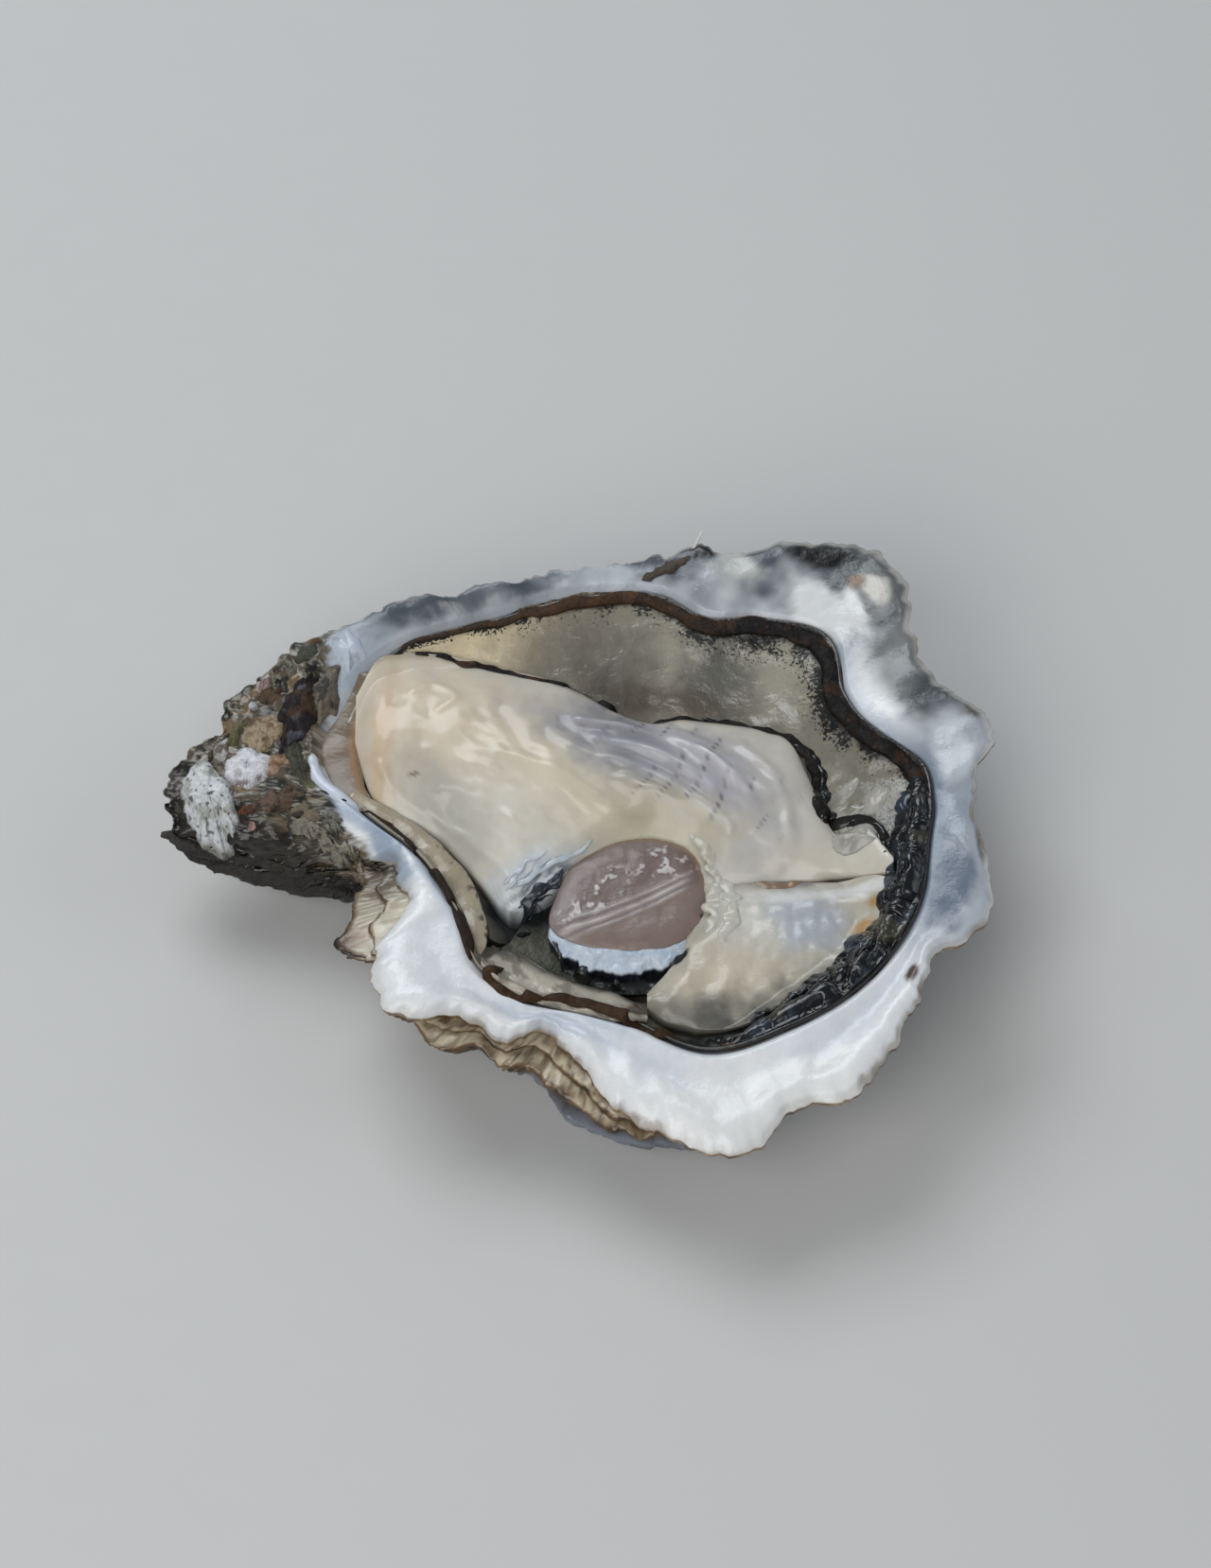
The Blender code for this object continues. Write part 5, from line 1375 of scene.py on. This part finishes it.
def makeRuffles():
    # a strip of rounded, creased folds along the front right of the lining's edge
    table = np.array(ruffleBand)
    plan = rufflePlan
    bearings = np.linspace(table[0, 0], table[-1, 0], plan["columns"])
    turn = np.radians(bearings)
    crest = around(shellPlan["crest"], 1, bearings) - around(liningPlan["edge"], 1, bearings)
    outer, inner, tall = [along(ruffleBand, column, bearings) for column in (1, 2, 3)]
    edge = np.column_stack((crest * np.cos(turn), crest * np.sin(turn), turn * 0))
    inner = inner + grit(edge, 3.0, 3, 247) * 0.9
    ends = smooth(bearings, -80, -74) * (1 - smooth(bearings, 2, 8))
    rows = []
    for share in np.linspace(0, 1, plan["rows"]):
        reach = crest - outer - (inner - outer) * share
        x, y = reach * np.cos(turn), reach * np.sin(turn)
        place = np.column_stack((x, y, x * 0))
        warped = warpedBy(place, plan["warp"])
        folds = np.clip(np.abs(lumps(warped, 2.5, 253)) / 0.34, 0, 1) ** 0.55
        small = np.clip(np.abs(lumps(warped, 1.2, 254)) / 0.3, 0, 1) ** 0.6
        rise = tall * (0.25 + 0.65 * folds + 0.22 * small) * math.sin(math.pi * (0.06 + 0.88 * share)) ** 0.5
        high = settle(onFringe, place, plan["missing"])
        rows.append(np.column_stack((x, y, high - 0.25 + rise * ends)))
    for share in (0.9, 0.6, 0.3, 0.1):
        index = int(share * (plan["rows"] - 1))
        rows.append(rows[index] * (1, 1, 0) + (0, 0, 1) * (rows[index][:, 2:] - plan["thick"]))
    grid = np.array(rows).transpose(1, 0, 2)
    flat = grid * (1, 1, 0)
    folds = np.clip(np.abs(lumps(warpedBy(flat, plan["warp"]), 2.5, 253)) / 0.34, 0, 1)
    tones = covered(grid, hue(15, 19, 24))
    # painted sheen: lighter blue-grey on the tops of the folds
    tones = tint(tones, hue(50, 62, 76), smooth(grit(flat, 2.6, 3, 255), 0.0, 0.8) * folds * 0.7)
    tones = tint(tones, hue(70, 66, 50), smooth(lumps(flat, 3.0, 256), 0.35, 0.8) * 0.6)
    # painted shade: near black in the creases between the folds
    tones = tint(tones, hue(5, 6, 7), 1 - smooth(folds, 0.1, 0.5))
    return makePiece("ruffles", grid, tones, frillWet)


onFringe = surfaceOf(lining, body, fold, band)
makeRuffles()


def paintKnot(grid, far, turn):
    tones = covered(grid, hue(14, 15, 17))
    return tint(tones, hue(60, 78, 90), smooth(grit(grid, 0.9, 3, 261), 0.1, 0.7) * 0.5)


def paintPale(grid, far, turn):
    tones = covered(grid, hue(172, 169, 160))
    return tint(tones, hue(120, 118, 108), smooth(grit(grid, 2.4, 3, 262), 0.1, 0.9) * 0.4)


knots = (
    # plan place, half sizes, turn, height, 1 if pale
    (21.6, 3.3, 1.3, 1.0, 60, 0.9, 0), (22.2, 0.4, 1.1, 0.8, 0, 0.8, 0), (28.8, -5.2, 0.9, 0.8, 60, 0.7, 0),
    (31.2, -11.7, 1.4, 1.1, 70, 1.1, 0), (28.4, -16.4, 1.5, 1.1, 50, 1.1, 0), (23.6, -21.6, 1.5, 1.0, 30, 1.0, 0),
    (25.2, -3.9, 2.9, 2.1, 20, 0.9, 1), (27.8, 1.2, 2.2, 1.4, 60, 0.5, 1), (24.6, 3.6, 1.8, 1.0, 40, 0.5, 1))
darkKnot = dict(finishUsed=frillWet, paint=paintKnot, ringed=0.07, ragged=0.16)
paleKnot = dict(finishUsed=fleshWet, paint=paintPale, ringed=0.02, ragged=0.07)
for number, (x, y, a, b, turn, tall, pale) in enumerate(knots):
    mound(f"knot{number + 1}", x, y, a, b, turn, tall, slot="mantle_flesh", columns=64, rings=24,
          seed=271 + number * 5, sink=0.15, **(paleKnot if pale else darkKnot))
print("ruffles and knots made")


# torn tissue round the muscles, and a painted shadow strand under the catch muscle

tissue = (
    # name, path with half widths, colour
    ("tornWhite", ((-14.8, -9.0, 0.4), (-11.8, -6.4, 0.7), (-8.8, -4.8, 0.7), (-5.6, -3.0, 0.4)), (190, 198, 202)),
    ("tornDark", ((-15.8, -13.0, 0.4), (-13.4, -10.2, 1.0), (-11.0, -8.0, 1.0), (-9.2, -6.4, 0.4)), (26, 32, 42)),
    ("tissueRight1", ((5.6, -2.0, 0.5), (7.6, -3.4, 0.9), (8.8, -5.6, 1.1), (9.0, -7.6, 0.6)), (190, 184, 170)),
    ("tissueRight2", ((7.6, -5.6, 0.5), (8.9, -8.0, 1.0), (8.8, -10.6, 1.1), (8.6, -13.4, 0.9), (7.4, -16.0, 0.4)),
     (194, 190, 178)),
    ("tissueRight3", ((9.6, -7.6, 0.4), (10.6, -9.8, 0.9), (10.6, -12.6, 1.1), (10.0, -15.6, 0.8), (9.2, -18.0, 0.3)),
     (200, 196, 184)),
    ("slitBrown", ((12.6, -8.9, 0.4), (15.0, -9.2, 0.7), (17.6, -8.9, 0.6), (20.0, -8.9, 0.2)), (132, 108, 84)),
    # painted shadow: a dark strand along the foot of the catch muscle
    ("shadowUnderCatch", ((-10.6, -15.6, 0.4), (-7.0, -18.6, 0.8), (-2.0, -20.3, 0.9), (2.8, -19.8, 0.8), (6.0, -18.0, 0.3)),
     (30, 34, 36)),
    ("whiteStreak", ((23.4, 2.0, 0.2), (25.0, 1.4, 0.35), (26.8, 0.6, 0.3), (27.8, 0.0, 0.1)), (214, 212, 200)),
)
for number, (name, points, colour) in enumerate(tissue):
    strand(name, points, fleshWet, "body_flesh", hue(*colour), bumps=0.4, bumpSize=1.2, flatness=0.32, columns=20,
           step=0.18, seed=301 + number * 11, sink=0.12, ruffle=0.45, ruffleSize=1.5)


wispPlan = dict(count=14, middle=(-12.4, -7.6), turn=40, aside=(-2.0, 4.2), start=(-4.6, 6.0), length=(2.4, 3.0))


def wisps():
    # thin shreds on the torn edge beside the adductor, white above and slate below
    parts = []
    plan = wispPlan
    angle = math.radians(plan["turn"])
    for number in range(plan["count"]):
        chance = [float(dice(np.array(number), np.array(k), np.array(3), 391)) for k in range(5)]
        aside, start, length = [plan[key][0] + plan[key][1] * chance[k]
                                for k, key in enumerate(("aside", "start", "length"))]
        path = []
        for share in (0, 0.35, 0.7, 1):
            ahead = start + length * share
            off = aside + (chance[3] - 0.5) * 1.4 * share * share
            path.append((plan["middle"][0] + ahead * math.cos(angle) - off * math.sin(angle),
                         plan["middle"][1] + ahead * math.sin(angle) + off * math.cos(angle),
                         (0.14 + 0.24 * chance[4]) * (1.15 - share)))
        colour = tint(hue(34, 42, 54), hue(206, 212, 216), np.clip(0.5 + aside / 2.4, 0, 1))
        parts.append(strand(None, path, None, None, colour, bumps=0.3, bumpSize=0.8, flatness=0.35, columns=10,
                            step=0.16, seed=801 + number * 3, sink=0.0, ruffle=0.25, ruffleSize=0.9))
    return parts


makeCluster("tornWisps", wisps(), fleshWet)
print("torn tissue made")


# growths and crust on the hinge end

def paintChalk(grid, far, turn):
    tones = covered(grid, hue(222, 226, 228))
    tones = tint(tones, hue(150, 150, 132), smooth(grit(grid, 1.6, 4, 401), 0.1, 0.7) * 0.6)
    pores = smooth(lumps(grid, 0.45, 402), 0.45, 0.65)
    tones = tint(tones, hue(40, 40, 34), pores * 0.8)
    return tint(tones, hue(84, 78, 58), smooth(far, 0.88, 1.0) * 0.7)


def paintLilac(grid, far, turn):
    tones = covered(grid, hue(238, 239, 244))
    rays = smooth(np.cos(turn * 44 + lumps(grid, 1, 403)), 0.2, 0.9) * smooth(far, 0.55, 0.9)
    tones = tint(tones, hue(150, 146, 156), rays * 0.6)
    tones = tint(tones, hue(116, 110, 112), smooth(grit(grid, 1.0, 4, 404), 0.4, 0.9) * 0.4)
    low = smooth(-np.sin(turn), 0.4, 0.9) * smooth(far, 0.6, 0.85)
    return tint(tones, hue(88, 46, 36), low * 0.7 * smooth(lumps(grid, 0.8, 405), -0.3, 0.3))


def paintRing(grid, far, turn):
    tones = covered(grid, hue(150, 146, 130))
    tones = tint(tones, hue(66, 68, 54), (1 - smooth(far, 0.35, 0.55)) * 0.9)
    return tint(tones, hue(96, 80, 56), smooth(grit(grid, 0.9, 4, 406), 0.1, 0.6) * 0.7)


def paintLigament(grid, far, turn):
    tones = covered(grid, hue(44, 39, 42))
    tones = tint(tones, hue(112, 114, 128), smooth(grit(grid, 1.2, 4, 407), 0.25, 0.8) * 0.6)
    return tint(tones, hue(92, 70, 48), smooth(lumps(grid, 1.6, 408), 0.2, 0.6) * 0.7)


def plain(red, green, blue, dark=(50, 40, 28), seed=410, amount=0.8):
    def painter(grid, far, turn):
        tones = np.tile(hue(red, green, blue), (*grid.shape[:2], 1))
        return tint(tones, hue(*dark), smooth(grit(grid, 1.2, 4, seed), 0.0, 0.6) * amount)
    return painter


barnacleLongPlan = dict(
    x=-51.6, y=3.2, halfLong=5.4, halfWide=2.9, turn=-66, height=3.4, finishUsed=chalky, slot="barnacle",
    paint=paintChalk, ridges=7, ridgeDeep=0.05, stands=("barnacle_1",), seed=421, slump=0.15, columns=140, rings=44)
mound("barnacleLong", **barnacleLongPlan)
barnacleRoundPlan = dict(
    x=-47.2, y=7.2, halfLong=3.0, halfWide=2.7, turn=20, height=1.9, finishUsed=chalky, slot="barnacle",
    paint=paintLilac, ridges=44, ridgeDeep=0.05, stands=("barnacle_2",), seed=422, columns=176, rings=40)
mound("barnacleRound", **barnacleRoundPlan)
barnacleSmallPlan = dict(
    x=-43.6, y=20.2, halfLong=1.9, halfWide=1.6, turn=30, height=1.5, finishUsed=crusty, slot="barnacle",
    paint=paintRing, mouth=0.5, ridges=9, ridgeDeep=0.06, stands=("barnacle_3",), seed=423)
mound("barnacleSmall", **barnacleSmallPlan)
nacreBeadPlan = dict(
    x=-35.4, y=22.6, halfLong=3.6, halfWide=2.0, turn=-65, height=0.9, finishUsed=nacre, slot="nacre",
    paint=plain(186, 196, 208, (128, 138, 148), 425, 0.4), seed=426, ragged=0.06, sink=0.2)
mound("nacreBead", **nacreBeadPlan)
hingeLigamentPlan = dict(
    x=-41.2, y=14.4, halfLong=5.2, halfWide=2.4, turn=72, height=2.2, finishUsed=fringeWet, slot="ligament",
    paint=paintLigament, stands=("hinge_ligament",), seed=424, ragged=0.2, columns=120, rings=36)
mound("hingeLigament", **hingeLigamentPlan)
growths = (
    # name, plan place, half sizes, turn, height, colour, dark colour, raggedness
    ("greyLump", -38.2, 16.8, 4.0, 1.9, 74, 1.8, (128, 118, 104), (52, 48, 44), 0.25),
    ("tanCrust", -45.6, 11.6, 2.6, 2.2, 40, 1.3, (176, 158, 130), (112, 84, 52), 0.25),
    ("tubeBarnacle", -45.6, 18.4, 1.5, 0.9, 60, 1.3, (214, 204, 202), (150, 120, 110), 0.15),
    ("pearl", -46.8, 15.2, 0.75, 0.7, 0, 0.9, (224, 226, 228), (180, 182, 190), 0.05),
    ("ochreScale", -44.8, 16.8, 1.9, 1.1, 30, 0.8, (88, 66, 42), (46, 34, 22), 0.3),
    ("ochreTip", -39.6, 24.2, 0.8, 0.7, 30, 0.8, (150, 116, 74), (96, 72, 44), 0.3),
    ("greenScale", -40.6, 22.4, 2.2, 1.5, 60, 0.9, (74, 80, 62), (32, 34, 26), 0.3),
    ("brownCrust", -43.6, 2.6, 2.8, 1.6, 10, 1.2, (108, 86, 68), (44, 34, 28), 0.35),
    ("brownCrustLow", -40.0, 0.6, 2.4, 1.6, -30, 1.2, (124, 112, 92), (50, 44, 36), 0.35),
    ("redScale", -47.0, 1.6, 1.1, 0.8, 20, 0.8, (112, 62, 40), (60, 34, 24), 0.3),
    ("pinkTubercle", -46.4, -0.2, 0.6, 0.5, 0, 0.7, (206, 166, 158), (150, 110, 100), 0.1),
    ("chalkPlate1", -50.4, 9.6, 2.2, 0.8, 60, 1.4, (214, 212, 208), (112, 100, 84), 0.25),
    ("chalkPlate2", -52.4, 8.2, 2.0, 0.9, 78, 1.2, (190, 184, 172), (92, 84, 62), 0.25),
    ("olivePatch", -48.6, 11.8, 2.0, 0.9, 48, 0.9, (112, 106, 72), (56, 50, 30), 0.35),
    ("pinkTissue", -43.8, 7.6, 1.8, 1.6, 0, 0.8, (186, 156, 130), (120, 88, 64), 0.25),
    ("crumple1", -40.6, -0.6, 2.3, 0.8, -38, 1.5, (150, 146, 130), (52, 44, 34), 0.45),
    ("crumple2", -38.2, -2.0, 2.0, 0.7, -30, 1.4, (166, 158, 140), (60, 50, 38), 0.45),
    ("crumple3", -36.6, -0.8, 1.8, 0.9, -50, 1.3, (134, 132, 120), (48, 42, 34), 0.45),
    ("crumple4", -35.6, -3.6, 2.0, 0.8, -44, 1.6, (158, 154, 138), (58, 48, 36), 0.45),
    ("crumple5", -33.6, -4.6, 1.7, 0.7, -70, 1.2, (176, 170, 150), (84, 70, 50), 0.35),
)
for number, (name, x, y, a, b, turn, tall, colour, dark, ragged) in enumerate(growths):
    mound(name, x, y, a, b, turn, tall, crusty, "barnacle", plain(*colour, dark, 430 + number, 0.9), ragged=ragged,
          seed=440 + number * 7, columns=72, rings=24)
greenFibrePlan = dict(
    points=(
        (-42.4, 12.2, 0.5), (-41.8, 9.6, 0.9), (-41.0, 6.8, 0.9), (-39.9, 4.6, 0.6), (-38.6, 3.4, 0.2)),
    finishUsed=crusty, slot="ligament", tone=hue(52, 54, 40), bumps=0.4, bumpSize=0.9, seed=561, sink=0.1,
    paint=lambda tones, grid, across, run: tint(
           tint(tones, hue(128, 124, 76), smooth(run, 0.75, 1.0) * 0.8), hue(140, 130, 100),
           smooth(np.cos(across * 14), 0.6, 1.0) * 0.5))
strand("greenFibre", **greenFibrePlan)
whiteRidgePlan = dict(
    points=(
        (-39.5, 8.8, 0.7), (-39.2, 7.0, 0.75), (-38.3, 4.9, 0.8), (-36.0, 2.6, 0.8), (-33.4, 0.8, 0.6)),
    finishUsed=nacre, slot="nacre", tone=hue(206, 214, 226), bumps=0.1, bumpSize=2.0, flatness=0.8, seed=571,
    sink=0.3)
strand("whiteRidge", **whiteRidgePlan)
print("growths made")


# ragged plates under the neck, standing out of the shell's side
onShell = surfaceOf(shell)


def sideReach(turn, height):
    out = Vector((math.cos(turn), math.sin(turn), 0))
    hit = onShell.ray_cast(out * 90 + Vector((0, 0, height)), -out)[0]
    return 30.0 if hit is None else math.hypot(hit.x, hit.y)


platePlan = dict(
    columns=110, across=22, back=8,
    # bearings from and to, height, how far out it grows, how far it droops, seed
    plates=(
        (174, 190, 11.8, 1.8, 0.6, 701), (177, 194, 10.4, 2.3, 0.8, 705), (180, 198, 9.0, 2.4, 0.9, 709),
        (186, 201, 11.6, 1.5, 0.5, 717)),
)


def plate(low, high, height, grow, droop, seed):
    plan = platePlan
    turns = np.radians(np.linspace(low, high, plan["columns"]))
    base = levelled(np.array([sideReach(turn, height) for turn in turns]), 6)
    run = np.linspace(0, 1, len(turns))
    curl = np.column_stack((base * np.cos(turns), base * np.sin(turns), np.full(len(turns), height)))
    wide = grow * np.sin(math.pi * run) ** 0.5 * (1 + grit(curl, 2.4, 4, seed) * 0.5) + 0.1
    shares = np.concatenate((np.linspace(-1, 1, plan["across"]), (1.02, 1.0), np.linspace(0.9, -1, plan["back"])))
    under = np.concatenate((np.zeros(plan["across"]), (0.12, 0.3), np.full(plan["back"], 0.4)))
    rows = []
    for share, down in zip(shares, under):
        reach = base + wide * share
        place = np.column_stack((reach * np.cos(turns), reach * np.sin(turns), np.full(len(turns), height)))
        uneven = lumps(place * (1, 1, 0), 2.4, seed + 1) * (0.3 + 0.9 * max(share, 0))
        place[:, 2] += -droop * max(share, 0) ** 2 - down + uneven
        rows.append(place)
    grid = np.array(rows).transpose(1, 0, 2)
    grid[..., 2] = np.maximum(grid[..., 2], 0.3)
    fine = grit(grid, 1.4, 4, seed + 2)
    # painted shade: the plates dark all along, grey-beige only at their front end
    frontEnd = np.broadcast_to(smooth(np.degrees(turns), 191, 199)[:, None], grid.shape[:2])
    tones = tint(covered(grid, hue(50, 45, 38)), hue(146, 138, 120), frontEnd)
    tones = tint(tones, hue(30, 25, 19), smooth(fine, -0.1, 0.6) * 0.8)
    lines = np.sin(np.hypot(grid[..., 0], grid[..., 1]) * 7 + fine * 3)
    return grid, tint(tones, hue(22, 18, 14), smooth(lines, 0.4, 1.0) * 0.6)


makeCluster("neckPlates", [plate(*row) for row in platePlan["plates"]], crusty)


# tuft of crud with a pale thread on the back edge
crudTuftPlan = dict(
    points=(
        (0.2, 31.9, 0.45), (2.2, 32.7, 0.75), (4.2, 33.4, 0.8), (6.2, 34.3, 0.55)),
    finishUsed=crusty, slot="barnacle", tone=hue(84, 72, 60), bumps=0.5, bumpSize=0.9, seed=581, sink=0.1,
    flatness=0.8)
strand("crudTuft", **crudTuftPlan)
paleThreadPlan = dict(
    points=(
        (6.2, 34.9, 0.2, 23.6), (6.8, 35.9, 0.22, 24.3), (7.3, 36.7, 0.2, 24.9), (7.8, 37.4, 0.14, 25.3)),
    finishUsed=mantleWet, slot="mantle_flesh", tone=hue(214, 212, 208), bumps=0.1, follow=False, step=0.1,
    columns=8, seed=591)
strand("paleThread", **paleThreadPlan)


# floor, light, camera

stagePlan = dict(
    floorTone=(0.62, 0.62, 0.61), reach=3.0, near=-0.6, far=0.9, sweep=(0.45, 0.95), rise=0.35, columns=40,
    grain=900, floorRough=(0.6, 0.8))


def makeFloor():
    # a shallow swept sheet, up behind the object
    rows = []
    plan = stagePlan
    wide, near = plan["reach"], plan["near"]
    runs = np.concatenate((np.linspace(-wide, near, 8)[:-1], np.linspace(near, plan["far"], 60)))
    for run in runs:
        rise = plan["rise"] * smooth(run, *plan["sweep"]) ** 1.5
        rows.append([(x, run, rise) for x in np.linspace(-wide, wide, plan["columns"])])
    grid = np.array(rows)
    faces = netFaces(len(runs), plan["columns"], closed=False)[:, ::-1]
    mesh = bpy.data.meshes.new("paleFloor")
    mesh.from_pydata(grid.reshape(-1, 3).tolist(), [], faces.tolist())
    mesh.shade_smooth()
    paper = bpy.data.materials.new("palePaper")
    paper.use_nodes = True
    nodes, links = paper.node_tree.nodes, paper.node_tree.links
    shader = nodes["Principled BSDF"]
    grain = nodes.new("ShaderNodeTexNoise")
    grain.inputs["Scale"].default_value = plan["grain"]
    ramp = nodes.new("ShaderNodeMapRange")
    ramp.inputs["To Min"].default_value, ramp.inputs["To Max"].default_value = plan["floorRough"]
    links.new(grain.outputs["Fac"], ramp.inputs["Value"])
    links.new(ramp.outputs["Result"], shader.inputs["Roughness"])
    shader.inputs["Base Color"].default_value = (*plan["floorTone"], 1)
    mesh.materials.append(paper)
    floor = bpy.data.objects.new("paleFloor", mesh)
    bpy.context.scene.collection.objects.link(floor)


lights = (
    # name, from, size, watts, tone
    ("windowBack", (-0.24, 0.42, 0.62), (0.5, 0.4), 2.8, (0.93, 0.97, 1.0)),
    ("softFront", (-0.22, -0.45, 0.5), (0.5, 0.5), 2.5, (1.0, 0.985, 0.96)),
    ("rightFill", (0.55, 0.1, 0.4), (0.35, 0.35), 0.45, (0.95, 0.98, 1.0)),
)
airPlan = dict(aim=(0, 0.0, 0.012), tone=(0.8, 0.87, 1.0, 1), strength=0.16)


def makeLights():
    for name, place, size, watts, tone in lights:
        lamp = bpy.data.lights.new(name, "AREA")
        lamp.shape = "RECTANGLE"
        lamp.size, lamp.size_y = size
        lamp.energy = watts
        lamp.color = tone
        thing = bpy.data.objects.new(name, lamp)
        thing.location = place
        aim = Vector(airPlan["aim"]) - Vector(place)
        thing.rotation_euler = aim.to_track_quat("-Z", "Y").to_euler()
        bpy.context.scene.collection.objects.link(thing)
    world = bpy.data.worlds.new("studio")
    world.use_nodes = True
    sky = world.node_tree.nodes["Background"].inputs
    sky["Color"].default_value, sky["Strength"].default_value = airPlan["tone"], airPlan["strength"]
    bpy.context.scene.world = world


cameraPlan = dict(lens=85, sensor=36, nearest=0.01, away=449, tilt=55, target=(3.25, 12.5, 12.0))   # millimetres


def makeCamera():
    view = bpy.data.cameras.new("camera")
    view.lens = cameraPlan["lens"]
    view.sensor_width = cameraPlan["sensor"]
    view.clip_start = cameraPlan["nearest"]
    eye = bpy.data.objects.new("camera", view)
    tilt = math.radians(cameraPlan["tilt"])
    target = Vector(cameraPlan["target"]) * mm
    eye.location = target + Vector((0, -math.cos(tilt), math.sin(tilt))) * cameraPlan["away"] * mm
    eye.rotation_euler = (target - eye.location).to_track_quat("-Z", "Y").to_euler()
    bpy.context.scene.collection.objects.link(eye)
    bpy.context.scene.camera = eye


makeFloor()
makeLights()
makeCamera()
bpy.context.scene.view_settings.view_transform = "Standard"
print("stage set")

bpy.context.view_layer.update()
